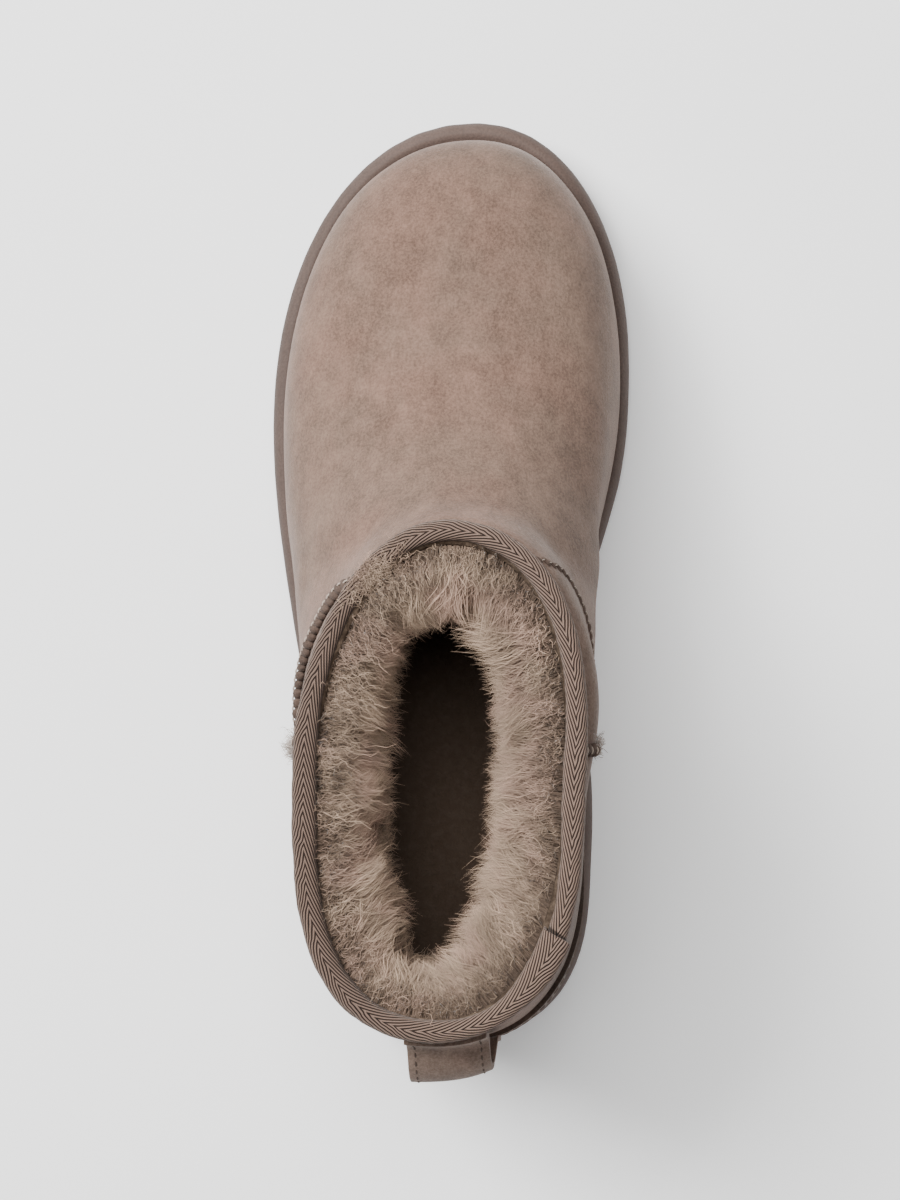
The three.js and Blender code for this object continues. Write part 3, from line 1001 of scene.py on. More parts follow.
@dataclass
class CollarBinding:
    """The twill tape folded over the collar's edge, with its lapped join."""

    axis: Pair = (31.5 * MM, 1.0 * MM)
    stations: int = 220
    thickness: float = 1.0
    outer_drop: float = 11.0
    inner_drop: float = 8.0
    corner: float = 2.0
    inset: float = 1.2
    # Width seen from above by direction: degrees from the toe towards the outer side, millimetres.
    widths: Sequence[Pair] = (
        (0, 5.4), (25, 5.3), (45, 5.4), (70, 6.0), (100, 6.8), (140, 6.6), (180, 5.7), (220, 5.7),
        (270, 6.0), (320, 5.6),
    )
    # How far the tape stands out past its measured line, by direction as above.
    outset: Sequence[Pair] = (
        (160, 0.0), (195, 0.3), (210, 1.0), (222, 1.4), (234, 0.7), (250, 0.3), (265, 0.0),
    )
    # The lap: its direction, its length, how aslant its end is, how high it lies on the tape's start and
    # over how many stations it rises there, and how much higher its end and further out its corner stand.
    join_angle: float = math.radians(-149)
    lap: float = 13.5
    lap_slant: float = -0.3
    lap_lift: float = 1.05
    lap_rise: int = 6
    end_lift: float = 0.5
    corner_flare: float = 1.0
    # Over what width the lift grows from the tape's middle, and how far down its sides, in corners.
    lift_over: float = 2.0
    lift_down: float = 1.5
    # How late along the lap that lift and that flare set in, as powers.
    lift_power: int = 5
    flare_power: int = 6
    # The tape's small waves: their height and how many a metre.
    puckers: Sequence[Pair] = ((0.35, 100.0), (0.18, 400.0))
    edge_round: float = 0.25
    # Distances from the axis between which the collar lies, and the step of the search.
    search: Triple = (24.0, 120.0, 0.4)
    width_reach: int = 9
    piece: Piece = field(init=False)
    centre: Array = field(init=False)
    outwards: Array = field(init=False)
    half: Array = field(init=False)
    lap_end: float = field(init=False)

    def measure(self) -> None:
        """Reads the collar's outer edge and its height from the frame, and sets its middle line inside that
        edge from the listed widths.
        """
        rays = Rays(frame["nodes"]["collar_binding"])
        angles = self.join_angle + np.linspace(0, 2 * math.pi, self.stations, endpoint=False)
        outer, top = [], []
        for angle in angles:
            hits = [(r, self._drop(rays, angle, r)) for r in np.arange(*self.search) * MM]
            hits = [(r, z) for r, z in hits if z is not None]
            outer.append(hits[-1][0])
            top.append(max(z for _, z in hits))
        outer, top = (self._softened(np.array(v)) for v in (outer, top))
        width = np.interp(np.degrees(angles) % 360, *zip(*self.widths), period=360) * MM
        width = self._softened(width, self.width_reach)
        x, y = self.axis
        edge = np.stack([x + outer * np.cos(angles), y + outer * np.sin(angles), top], 1)
        along = np.roll(edge, -1, 0) - np.roll(edge, 1, 0)
        along[:, 2] = 0
        along /= np.linalg.norm(along, axis=1)[:, None]
        self.outwards = np.stack([along[:, 1], -along[:, 0], np.zeros(self.stations)], 1)
        self.half = width / 2
        outset = np.interp(np.degrees(angles) % 360, *zip(*self.outset), period=360) - self.inset
        self.centre = edge - self.outwards * (self.half - self._softened(outset) * MM)[:, None]

    def _drop(self, rays: Rays, angle: float, radius: float) -> float | None:
        """Height of the collar's top at an angle and radius about the axis, or None beside it.

        Args:
            rays: finds points on the binding.
            angle: the direction, in radians.
            radius: the distance from the axis, in metres.

        Returns:
            The height in metres, or None.
        """
        x, y = self.axis
        start = (x + radius * math.cos(angle), y + radius * math.sin(angle), ABOVE_COLLAR)
        found = rays.hit(start, (0, 0, -1))
        return found[0].z if found else None

    @staticmethod
    def _softened(values: Array, reach: int = 5) -> Array:
        """A closed row of values, each averaged with its neighbours."""
        return sum(np.roll(values, k) for k in range(-reach, reach + 1)) / (2 * reach + 1)

    def _section(self, half: float) -> Array:
        """The tape's outer face in section, from outside to inside.

        Args:
            half: half the tape's width seen from above, in metres.

        Returns:
            Rows of (out, up, across the tape), in metres.
        """
        arc = np.linspace(0, math.pi / 2, 5)
        bend = self.corner * MM
        flat = half - bend
        outer = [(half, -self.outer_drop * MM * share) for share in (1, 0.75, 0.5)]
        outer += [(flat + bend * math.cos(a), bend * (math.sin(a) - 1)) for a in arc]
        inner = [(-flat - bend * math.sin(a), bend * (math.cos(a) - 1)) for a in arc]
        inner += [(-half, -self.inner_drop * MM / 2), (-half, -self.inner_drop * MM)]
        line = np.array(outer + [(0.0, 0.0)] + inner)
        steps = np.r_[0, np.cumsum(np.linalg.norm(np.diff(line, axis=0), axis=1))]
        middle = steps[len(outer)]
        return np.column_stack([line, middle - steps])

    def build(self) -> None:
        """Sweeps the tape once round the collar and a little over its own start."""
        self.measure()
        step = np.linalg.norm(np.roll(self.centre, -1, 0) - self.centre, axis=1)
        length = np.r_[0, np.cumsum(step)]
        lap_stations = int(self.lap * MM / step[:4].mean())
        self.lap_end = float(length[lap_stations - 1])
        rows, uvs = [], []
        for n in range(self.stations + lap_stations):
            past = max(n - self.stations, 0)
            risen = min(1, max(0, (n - self.stations + self.lap_rise) / self.lap_rise))
            row, across = self._row(n % self.stations, risen, past / lap_stations, step)
            u = length[min(n, self.stations)] + length[past]
            rows.append(row)
            uvs.append([(u, v) for v in across])
        self.piece = self._strip("collar_tape", np.array(rows), np.array(uvs))
        face_towards(self.piece, self._section(1.0).shape[0] // 2, UP)
        modify(self.piece, "SOLIDIFY", thickness=self.thickness * MM, offset=-1)
        modify(self.piece, "BEVEL", width=self.edge_round * MM, **soft_edges(1.0))

    def _row(self, k: int, risen: float, lapped: float, step: Array) -> tuple[list, Array]:
        """Lays the tape's section across the collar.

        Args:
            k: the station.
            risen: how far the tape has risen onto its own start, from 0 to 1.
            lapped: how far along the lap it is, from 0 to 1.
            step: the distances between the stations.

        Returns:
            The points, and how far across the tape each of them lies.
        """
        section = self._section(self.half[k])
        spot = Vector(self.centre[k])
        pucker = sum(high * MM * noise.noise(spot * scale) for high, scale in self.puckers)
        lift = self.lap_lift * MM * risen + pucker
        lift += self.end_lift * MM * lapped**self.lift_power
        flare = self.corner_flare * MM * lapped**self.flare_power
        slide = self.lap_slant * lapped
        row, flat = [], []
        for out, up, side in section:
            centre, outwards = self._frame_at(k + slide * side / step[k])
            away = out + lift * np.clip(out / (self.lift_over * MM), -1, 1) + flare * (out > 0)
            rise = up + lift * (up > -self.lift_down * self.corner * MM)
            row.append(centre + outwards * away + np.array([0, 0, rise]))
            flat.append((away, rise))
        run = np.r_[0, np.cumsum(np.linalg.norm(np.diff(flat, axis=0), axis=1))]
        return row, run[np.argmin(np.abs(section[:, 2]))] - run

    def _frame_at(self, station: float) -> tuple[Array, Array]:
        """The middle line's point and outward direction between two stations.

        Args:
            station: the station, with its share of the way to the next.

        Returns:
            The point and the direction.
        """
        low = int(math.floor(station))
        share = station - low
        a, b = low % self.stations, (low + 1) % self.stations
        return (
            self.centre[a] * (1 - share) + self.centre[b] * share,
            self.outwards[a] * (1 - share) + self.outwards[b] * share,
        )

    @staticmethod
    def _strip(name: str, rows: Array, uvs: Array) -> Piece:
        """An open strip through rows of points with a UV map called tape.

        Args:
            name: the piece's name.
            rows: points by row.
            uvs: their UV places.

        Returns:
            The piece.
        """
        piece = skin_through(name, rows)
        layer = piece.data.uv_layers[0]
        layer.name = "tape"
        corners = np.zeros(len(piece.data.loops), np.int32)
        piece.data.loops.foreach_get("vertex_index", corners)
        layer.data.foreach_set("uv", uvs.reshape(-1, 2)[corners].astype(np.float32).ravel())
        return piece

    def dress(self, twill: Material) -> None:
        """Gives the tape its finish."""
        dress(self.piece, twill, Slot.TAPE, "collar_binding")


# ---------------------------------------------------------------- sole


@dataclass
class Outsole:
    """The foam sole: a smooth body with a rounded rim, and its tread."""

    stations: int = 200
    # Section of the edge from under the rim to the top: how far in from the widest line, share of height.
    edge: Sequence[Pair] = (
        (8.6, 0.14), (8.4, 0.02), (8.0, 0.0), (4.2, 0.0), (3.3, 0.004), (2.7, 0.02), (1.7, 0.09),
        (0.8, 0.22), (0.2, 0.4), (0.0, 0.56), (0.25, 0.72), (0.9, 0.85), (1.9, 0.94), (3.0, 0.99),
        (4.1, 0.99), (5.2, 0.94), (6.3, 0.87), (8.0, 0.85), (14.0, 0.85),
    )
    # How far in from the edge the sole's thickness is read.
    read_at: float = 5.5
    # Heights between which its widest line lies, and a distance in metres that clears the whole sole.
    waist: Triple = (4.0, 19.0, 1.0)
    clear_of: float = 0.3
    # The rings that close the sole: how far out from its centre line, then how far in from its edge.
    inner_rings: Pair = (0.4, 0.75)
    last_ring: float = 0.04
    lug_margin: float = 11.6
    lug_width: float = 6.6
    lug_depth: float = 2.2
    lug_slope: float = 0.18
    lug_round: float = 0.6
    # How far a lug's root runs up into the sole, and where its arms are cut across, as shares of the width.
    lug_root: float = 1.0
    lug_cuts: tuple[float, float, int] = (-0.8, 0.8, 9)
    # How often a lug's reach is worked out again from where that reach puts it.
    lug_passes: int = 6
    lug_places: Sequence[float] = (*range(-33, 34, 11), *range(105, 205, 11))
    body: Piece = field(init=False)
    lugs: Piece = field(init=False)
    tread_line: Array = field(init=False)

    def build(self) -> None:
        """Sweeps the edge section round the sole's outline."""
        rays = Rays(frame["nodes"]["outsole"])
        low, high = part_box("outsole")
        middle = (low + high) / 2
        reach = (high - low) / 2
        outline, top, tread = [], [], []
        for turn in np.linspace(0, 2 * math.pi, self.stations, endpoint=False):
            way = Vector((reach.x * math.cos(turn), reach.y * math.sin(turn), 0)).normalized()
            outline.append(self._widest(rays, middle, way))
        outline = np.array(outline)
        outline = sum(np.roll(outline, k, 0) * w for k, w in ((-1, 0.25), (0, 0.5), (1, 0.25)))
        along = np.roll(outline, -1, 0) - np.roll(outline, 1, 0)
        along /= np.linalg.norm(along, axis=1)[:, None]
        inwards = np.stack([-along[:, 1], along[:, 0]], 1)
        for spot in outline + inwards * self.read_at * MM:
            top.append(rays.hit((*spot, ABOVE_SOLE), (0, 0, -1))[0].z)
            tread.append(rays.hit((*spot, -ABOVE_SOLE), (0, 0, 1))[0].z)
        top, tread = np.array(top), np.array(tread)
        rings = []
        for margin, share in self.edge:
            flat = outline + inwards * margin * MM
            rings.append(np.column_stack([flat, tread + (top - tread) * share]))
        self.tread_line = np.column_stack([outline + inwards * self.lug_margin * MM, tread])
        rings = self._closing(rings[0], self.lug_depth * MM) + rings + self._closing(rings[-1], 0)[::-1]
        self.body = skin_through("sole_body", np.array(rings), round_columns=True)
        turn_outwards(self.body)
        self._build_lugs()

    def _closing(self, ring: Array, recess: float) -> list[Array]:
        """Rings that close the sole across its middle, from its centre line out to a ring.

        Args:
            ring: the ring that they start from.
            recess: how far they are raised, in metres.

        Returns:
            The rings, from the centre line out.
        """
        middle = ring.copy()
        middle[:, 1] = 0
        middle[:, (0, 2)] = (ring + np.roll(ring[::-1], 1, 0))[:, (0, 2)] / 2
        inner = ring + (middle - ring) * self.last_ring
        rings = [middle, *(middle + (ring - middle) * share for share in self.inner_rings), inner]
        for part in rings:
            part[:, 2] += recess
        return rings

    def _build_lugs(self) -> None:
        """Models one chevron lug, and copies it along the tread, trimmed to the sole's edge."""
        half = len(self.tread_line) // 2
        outer, inner = self.tread_line[: half + 1], self.tread_line[half:]
        outer, inner = outer[::-1], np.vstack([inner, self.tread_line[:1]])
        pattern = self._lug()
        lugs = []
        for place in self.lug_places:
            pick_only(pattern)
            bpy.ops.object.duplicate()
            lug = bpy.context.object
            points = points_of(lug)
            share, forward = points[:, 1].copy(), points[:, 0] + place * MM
            x, reach = forward.copy(), np.zeros(len(points))
            for _ in range(self.lug_passes):
                out = np.interp(x, outer[:, 0], outer[:, 1])
                back = np.interp(x, inner[:, 0], inner[:, 1])
                reach = np.where(share > 0, share * out, -share * back)
                x = forward - self.lug_slope * np.abs(reach)
            rise = np.interp(x, outer[:, 0], outer[:, 2])
            move_points(lug, np.column_stack([x, reach, points[:, 2] + rise]))
            modify(lug, "BEVEL", width=self.lug_round * MM, **soft_edges(0.7))
            lugs.append(lug)
        bpy.data.objects.remove(pattern, do_unlink=True)
        self.lugs = joined("sole_lugs", lugs)

    def _lug(self) -> Piece:
        """One straight lug, a metre long to each side, cut across at even distances.

        Returns:
            The lug.
        """
        height = (self.lug_depth + self.lug_root) * MM
        pick_only()
        bpy.ops.mesh.primitive_cube_add(size=1, location=(0, 0, 0))
        lug = bpy.context.object
        with editing(lug):
            bpy.ops.transform.resize(value=(self.lug_width * MM, 2, height))
            bpy.ops.transform.translate(value=(0, 0, height / 2))
            for cut in np.linspace(*self.lug_cuts):
                bpy.ops.mesh.select_all(action="SELECT")
                bpy.ops.mesh.bisect(plane_co=(0, cut, 0), plane_no=(0, 1, 0))
        return lug

    def _widest(self, rays: Rays, middle: Vector, way: Vector) -> Pair:
        """The sole's furthest point from its middle in one direction.

        Args:
            rays: finds points on the sole.
            middle: the sole's middle.
            way: the direction.

        Returns:
            Its place along and across the boot.
        """
        best = (0.0, (0.0, 0.0))
        for height in np.arange(*self.waist) * MM:
            start = Vector((middle.x, middle.y, height)) + way * self.clear_of
            found = rays.hit(start, -way)
            if found:
                away = (found[0].xy - middle.xy).length
                best = max(best, (away, tuple(found[0].xy)))
        return best[1]

    def dress(self, foam: Material) -> None:
        """Gives the sole its finish."""
        dress(self.body, foam, Slot.FOAM, "outsole")
        dress(self.lugs, foam, Slot.FOAM, smooth=False)


# ---------------------------------------------------------------- seams, counter and loop


@dataclass
class RaisedSeams:
    """The puckered seams between vamp and shaft and up both sides, with their threads."""

    axis: Pair = (30 * MM, 0.0)
    # The vamp seam on one side, from under the binding back to the side seam: degrees from the toe, height.
    vamp_route: Sequence[Pair] = (
        (16, 124), (24, 118), (29, 112), (35.5, 105), (41, 99.5), (48, 93), (54, 87.5), (60, 83.5),
        (68, 80.5), (76, 79.0),
    )
    route_steps: int = 120
    # The side seam: where it lies along the boot, and its heights as top, foot and step.
    side_at: float = 41.0
    side_heights: Triple = (118.0, 19.5, -0.8)
    # The lobes: how far apart they lie, where the first one is, their size and their turn off the line.
    pitch: float = 3.0
    first_at: float = 0.8
    lobe: Triple = (5.4, 2.9, 3.2)
    lobe_slant: float = math.radians(42)
    # The threads: how they turn from the lobes, how far they sink, the half span, height and radius of one.
    thread_turn: float = 1.1
    thread_sink: float = 0.45
    thread: Triple = (1.6, 1.95, 0.25)
    # How far the inner side's seam drops below the route where it leaves the binding, under the hide's fold.
    inner_drop: float = 12.6
    # Over how many steps to each side a corner of the route is rounded.
    corner_steps: int = 6
    # How far the lobes stand off the hide on each of the seams, and how large they are on it.
    stands: Sequence[float] = (0.9, 0.4, -0.3, 0.4)
    scales: Sequence[float] = (1.0, 0.85, 0.62, 0.85)
    lobes: Piece = field(init=False)
    threads: Piece = field(init=False)

    def tracks(self, rays: Rays) -> list[Track]:
        """The four seams' lines on the hide.

        Args:
            rays: finds points on the hide.

        Returns:
            The vamp and side seam of the outer side, then of the inner side.
        """
        degrees, heights = zip(*self.vamp_route)
        share = np.linspace(0, len(degrees) - 1, self.route_steps)
        tracks = []
        for side in (1, -1):
            ease = np.sin(np.clip(share / share[-1] * 3, 0, 1) * math.pi / 2) * (1 - share / share[-1])
            lowered = self._eased(share, heights) - (self.inner_drop * ease if side < 0 else 0)
            route = zip(np.interp(share, range(len(degrees)), degrees), lowered)
            spots = [rays.around(self.axis, side * math.radians(d), h * MM) for d, h in route]
            tracks.append(Track([s for s in spots if s]))
            spots = []
            for height in np.arange(*self.side_heights):
                found = rays.hit((self.side_at * MM, side * ASIDE, height * MM), (0, -side, 0))
                if found:
                    spots.append(found)
            tracks.append(Track(spots))
        return tracks

    def _eased(self, share: Array, heights: Sequence[float]) -> Array:
        """Heights along the route with its corners rounded.

        Args:
            share: how far along the route, in its points.
            heights: the route's heights.

        Returns:
            A height for each share.
        """
        fine = np.interp(share, range(len(heights)), heights)
        padded = np.pad(fine, self.corner_steps, mode="reflect", reflect_type="odd")
        count = 2 * self.corner_steps + 1
        return np.convolve(padded, np.ones(count) / count, mode="valid")

    def build(self, rays: Rays) -> None:
        """Lays plump lobes and cross threads along every seam.

        Args:
            rays: finds points on the hide.
        """
        rng = np.random.default_rng(WOOL_SEED)
        lobes, threads = [], []
        for number, track in enumerate(self.tracks(rays)):
            slant = self.lobe_slant * (1 if number % 2 else -1)
            stand, scale = self.stands[number], self.scales[number]
            for distance in np.arange(self.first_at * MM, track.length, self.pitch * MM):
                size = np.array(self.lobe) * MM * rng.uniform(0.9, 1.12, 3) * scale
                lobes.append(track.place(distance, size, slant, stand))
                distance += self.pitch * MM / 2
                sunk = stand - self.thread_sink * scale
                threads.append(track.place(distance, [scale * MM] * 3, slant + self.thread_turn, sunk))
        self.lobes = strew("seam_lobes", bead(12, 8), lobes)
        self.threads = strew("seam_threads", self._thread(), threads)

    def _thread(self) -> Piece:
        """Models a thread that arches over the seam along X, in millimetres.

        Returns:
            The thread.
        """
        span, height, radius = self.thread
        rows = [
            [
                (math.cos(a) * (span + radius * math.cos(t)), radius * math.sin(t),
                 math.sin(a) * (height + radius * math.cos(t)))
                for t in np.linspace(0, 2 * math.pi, 6, endpoint=False)
            ]
            for a in np.linspace(-0.15, math.pi + 0.15, 9)
        ]
        return skin_through("thread", np.array(rows), round_columns=True)

    def dress(self, suede: Material, thread: Material) -> None:
        """Gives the seams their finishes."""
        dress(self.lobes, suede, Slot.SUEDE)
        dress(self.threads, thread, Slot.SUEDE)


@dataclass
class Stitching:
    """Rows of short stitches sunk into the surface."""

    name: str
    gap: float = 3.1
    length: float = 2.3
    thickness: float = 0.5

    def along(self, tracks: Sequence[Track]) -> Piece:
        """Copies one stitch along each line.

        Args:
            tracks: the lines to follow.

        Returns:
            The piece.
        """
        size = (self.length * MM, self.thickness * MM, self.thickness * MM)
        places = []
        for track in tracks:
            for distance in np.arange(self.gap * MM / 2, track.length, self.gap * MM):
                places.append(track.place(distance, size))
        return strew(self.name, bead(8, 6), places)


@dataclass
class HeelCounter:
    """The suede overlay round the back of the heel, with two rows of stitches along its edge."""

    axis: Pair = (20.6 * MM, 0.0)
    columns: int = 72
    rows: int = 18
    low: float = 21.6
    # Its side profile: distance from the sole's back and height, from the front edge up to the level top.
    profile: Sequence[Pair] = ((66, 26), (60, 36), (53, 46), (44, 55), (33, 62.5), (20, 66), (0, 66))
    heel_back: float = 45.0
    # How far the patch stands off the hide, how thick it is, and how its edge is rounded.
    proud: float = 1.3
    thickness: float = 1.5
    edge_round: float = 0.45
    # Each row of stitches: how far in from the edge, and how many columns it leaves free at its ends.
    stitch_rows: Sequence[tuple[float, int]] = ((3.0, 2), (5.6, 3))
    stitch_thickness: float = 0.38
    # How often a point's height is worked out again from the place that it gives.
    passes: int = 4
    piece: Piece = field(init=False)
    stitches: Piece = field(init=False)

    def _top(self, x: float) -> float:
        """Height of the upper edge at a distance along the boot, both in metres."""
        far, high = zip(*self.profile[::-1])
        return float(np.interp(x / MM + self.heel_back, far, high)) * MM

    def _point(self, rays: Rays, angle: float, share: float, inset: float = 0.0) -> tuple[Vector, Vector]:
        """A point on the hide at a share of the way up to the edge less an inset, and the normal there.

        Args:
            rays: finds points on the hide.
            angle: the direction about the axis.
            share: 0 at the foot and 1 at the edge.
            inset: how far below the edge 1 lies.

        Returns:
            The point and the normal.
        """
        height = self.low * MM
        for _ in range(self.passes):
            place, normal = rays.around(self.axis, angle, height)
            height = self.low * MM + (self._top(place.x) - inset * MM - self.low * MM) * share
        return place, normal

    def build(self, rays: Rays) -> None:
        """Lays the patch and its stitches on the hide.

        Args:
            rays: finds points on the hide.
        """
        angles = np.linspace(math.pi / 2, 1.5 * math.pi, self.columns)
        shares = np.linspace(0, 1, self.rows)
        rows = []
        for share in shares:
            spots = [self._point(rays, angle, share) for angle in angles]
            rows.append([tuple(place + normal * self.proud * MM) for place, normal in spots])
        self.piece = skin_through("heel_counter_patch", np.array(rows))
        face_towards(self.piece, self.columns // 2, (-1, 0, 0))
        modify(self.piece, "SOLIDIFY", thickness=self.thickness * MM, offset=-1)
        modify(self.piece, "BEVEL", width=self.edge_round * MM, **soft_edges(1.0))
        tracks = []
        for inset, ends in self.stitch_rows:
            spots = [self._point(rays, angle, 1, inset) for angle in angles[ends:-ends]]
            tracks.append(Track([(place + normal * self.proud * MM, normal) for place, normal in spots]))
        self.stitches = Stitching("counter_stitches", thickness=self.stitch_thickness).along(tracks)

    def dress(self, suede: Material, thread: Material) -> None:
        """Gives the counter its finishes."""
        dress(self.piece, suede, Slot.SUEDE, "heel_counter")
        dress(self.stitches, thread, Slot.SUEDE)


@dataclass
class PullLoop:
    """The folded suede strap, with dark cut edges and a row of stitches near each."""

    # The stitches: how far in from the edge, and between which heights, with the step of the search.
    stitch_inset: float = 2.2
    stitched: Triple = (106.5, 72.5, -0.4)
    # How much wider than its CAD body the strap is, how it leans, how far aside its top stands, and how its
    # rearmost part is skewed: by how much, behind which place and over what length.
    widen: float = 1.08
    lean: float = 0.07
    aside: float = 1.0
    skew: float = 0.09
    skew_from: float = -38.0
    skew_over: float = 8.0
    edge_round: float = 0.4
    # A face that looks this much to the side is a cut edge.
    sideways: float = 0.8
    piece: Piece = field(init=False)
    stitches: Piece = field(init=False)

    def build(self) -> None:
        """Rounds the strap's edges and stitches it."""
        self.piece = copy_of_node("pull_loop", "pull_strap")
        points = points_of(self.piece)
        middle = points[:, 1].mean()
        points[:, 1] = middle + (points[:, 1] - middle) * self.widen
        behind = np.clip((self.skew_from * MM - points[:, 0]) / (self.skew_over * MM), 0, 1)
        points[:, 0] -= (points[:, 1] - middle) * self.skew * behind
        points[:, 1] += self.aside * MM - (points[:, 2].max() - points[:, 2]) * self.lean
        move_points(self.piece, points)
        modify(self.piece, "BEVEL", width=self.edge_round * MM, **soft_edges(0.9))
        modify(self.piece, "SUBSURF", levels=1, render_levels=1)
        rays = Rays(self.piece)
        tracks = []
        top = points[:, 2].max()
        half = np.ptp(points[points[:, 2] > top - 2 * MM, 1]) / 2 - self.stitch_inset * MM
        for side in (middle + self.aside * MM - half, middle + self.aside * MM + half):
            spots = []
            for height in np.arange(*self.stitched) * MM:
                found = rays.hit((-ASIDE, side - (top - height) * self.lean, height), (1, 0, 0))
                if found:
                    spots.append(found)
            tracks.append(Track(spots))
        self.stitches = Stitching("loop_stitches", gap=3.0, length=1.9, thickness=0.55).along(tracks)

    def dress(self, suede: Material, edge: Material, thread: Material) -> None:
        """Gives the strap its finishes, with the cut edges darker: partly their own colour, partly painted
        shade.

        Args:
            suede: the finish of its faces.
            edge: that of its cut edges.
            thread: that of its stitches.
        """
        dress(self.piece, suede, Slot.SUEDE, "pull_loop")
        # The cut edges get a darker finish: partly their own colour, partly painted shade.
        self.piece.data.materials.append(edge)
        for face in self.piece.data.polygons:
            face.material_index = int(abs(face.normal.y) > self.sideways)
        dress(self.stitches, thread, Slot.SUEDE)


# ---------------------------------------------------------------- fleece


class Strands:
    """A mesh of fine tapering fibres."""

    # Where along a fibre its points are, and how wide it is there.
    shares = np.array([0.0, 0.18, 0.35, 0.51, 0.67, 0.83, 1.0])
    widths = np.array([1.0, 1.0, 0.95, 0.85, 0.7, 0.5, 0.12])
    # How far the swings and the widths vary between fibres, how far a fibre rolls to its side, and how round
    # it is lit.
    swings: Pair = (0.5, 1.5)
    varied: Pair = (0.7, 1.3)
    roll: float = 0.35
    rounded: float = 0.3
    # Keeps a length of nothing from being divided by.
    least: float = 1e-12

    def __init__(self, rng: np.random.Generator) -> None:
        """Keeps the random numbers that vary the fibres."""
        self.rng = rng

    def mesh(
        self, name: str, starts: Array, bends: Array, ends: Array, facing: Array, tones: Array,
        width: float, wave: float, curl: float, root_shades: Array | None = None, phases: Array | None = None,
    ) -> Piece:
        """Builds the fibres.

        Args:
            name: the piece's name.
            starts: each fibre's root.
            bends: the point that each fibre bends towards.
            ends: each fibre's tip.
            facing: the way that the pile faces at each fibre.
            tones: how light each fibre is, from 0 to 1.
            width: a fibre's width at its root.
            wave: how far a fibre swings to its sides.
            curl: how far its swing turns from root to tip, in radians.
            root_shades: how far each fibre's dark root, painted shade, reaches, from 0 to 1; 0 if left out.
            phases: where each fibre starts in its swing, in radians; random if left out.

        Returns:
            The piece.
        """
        count, steps = len(starts), len(self.shares)
        t = self.shares[None, :, None]
        line = (1 - t) ** 2 * starts[:, None] + 2 * t * (1 - t) * bends[:, None] + t**2 * ends[:, None]
        sideways = np.cross(ends - starts, facing)
        sideways /= np.linalg.norm(sideways, axis=1)[:, None] + self.least
        if phases is None:
            phases = self.rng.uniform(0, 2 * math.pi, count)
        phase = phases[:, None, None]
        lift = np.cross(sideways, ends - starts)
        lift /= np.linalg.norm(lift, axis=1)[:, None] + self.least
        swing = wave * self.rng.uniform(*self.swings, (count, 1, 1)) * np.minimum(1, t * 3)
        line = line + sideways[:, None] * swing * np.sin(phase + t * curl)
        line = line + lift[:, None] * swing * 0.7 * np.cos(phase * 1.7 + t * curl)
        along = np.gradient(line, axis=1)
        along /= np.linalg.norm(along, axis=2)[:, :, None] + self.least
        face = facing[:, None] + sideways[:, None] * self.rng.normal(0, self.roll, (count, 1, 1))
        face = face - along * np.sum(face * along, axis=2)[:, :, None]
        face /= np.linalg.norm(face, axis=2)[:, :, None] + self.least
        across = np.cross(along, face)
        varied = self.rng.uniform(*self.varied, (count, 1, 1))
        spread = across * (width / 2 * self.widths)[None, :, None] * varied
        points = np.stack([line - spread, line + spread], 2)
        normals = np.stack([face - across * self.rounded, face + across * self.rounded], 2)
        normals /= np.linalg.norm(normals, axis=3)[..., None]
        tone = np.broadcast_to(tones[:, None, None], (count, steps, 2))
        share = np.broadcast_to(t, (count, steps, 2))
        dark = np.broadcast_to((tones * 0 if root_shades is None else root_shades)[:, None, None], (count, steps, 2))
        return self._ribbons(name, points, normals, np.stack([share, tone, dark, np.ones_like(tone)], -1))

    @staticmethod
    def _ribbons(name: str, points: Array, normals: Array, locks: Array) -> Piece:
        """Makes a mesh of narrow ribbons.

        Args:
            name: the piece's name.
            points: two points across each step of each ribbon.
            normals: how those points are lit.
            locks: what the lock attribute says at those points.

        Returns:
            The piece.
        """
        count, steps = points.shape[:2]
        mesh = bpy.data.meshes.new(name)
        base = (np.arange(count) * steps * 2)[:, None] + (np.arange(steps - 1) * 2)[None]
        quads = np.stack([base, base + 1, base + 3, base + 2], -1).reshape(-1, 4)
        mesh.vertices.add(points.size // 3)
        mesh.vertices.foreach_set("co", points.astype(np.float32).ravel())
        mesh.loops.add(quads.size)
        mesh.loops.foreach_set("vertex_index", quads.astype(np.int32).ravel())
        mesh.polygons.add(len(quads))
        mesh.polygons.foreach_set("loop_start", np.arange(0, quads.size, 4, dtype=np.int32))
        mesh.update(calc_edges=True)
        mesh.shade_smooth()
        lock = mesh.color_attributes.new(name="lock", type="FLOAT_COLOR", domain="POINT")
        lock.data.foreach_set("color", locks.astype(np.float32).ravel())
        mesh.normals_split_custom_set_from_vertices(normals.reshape(-1, 3).tolist())
        return link_mesh(name, mesh)


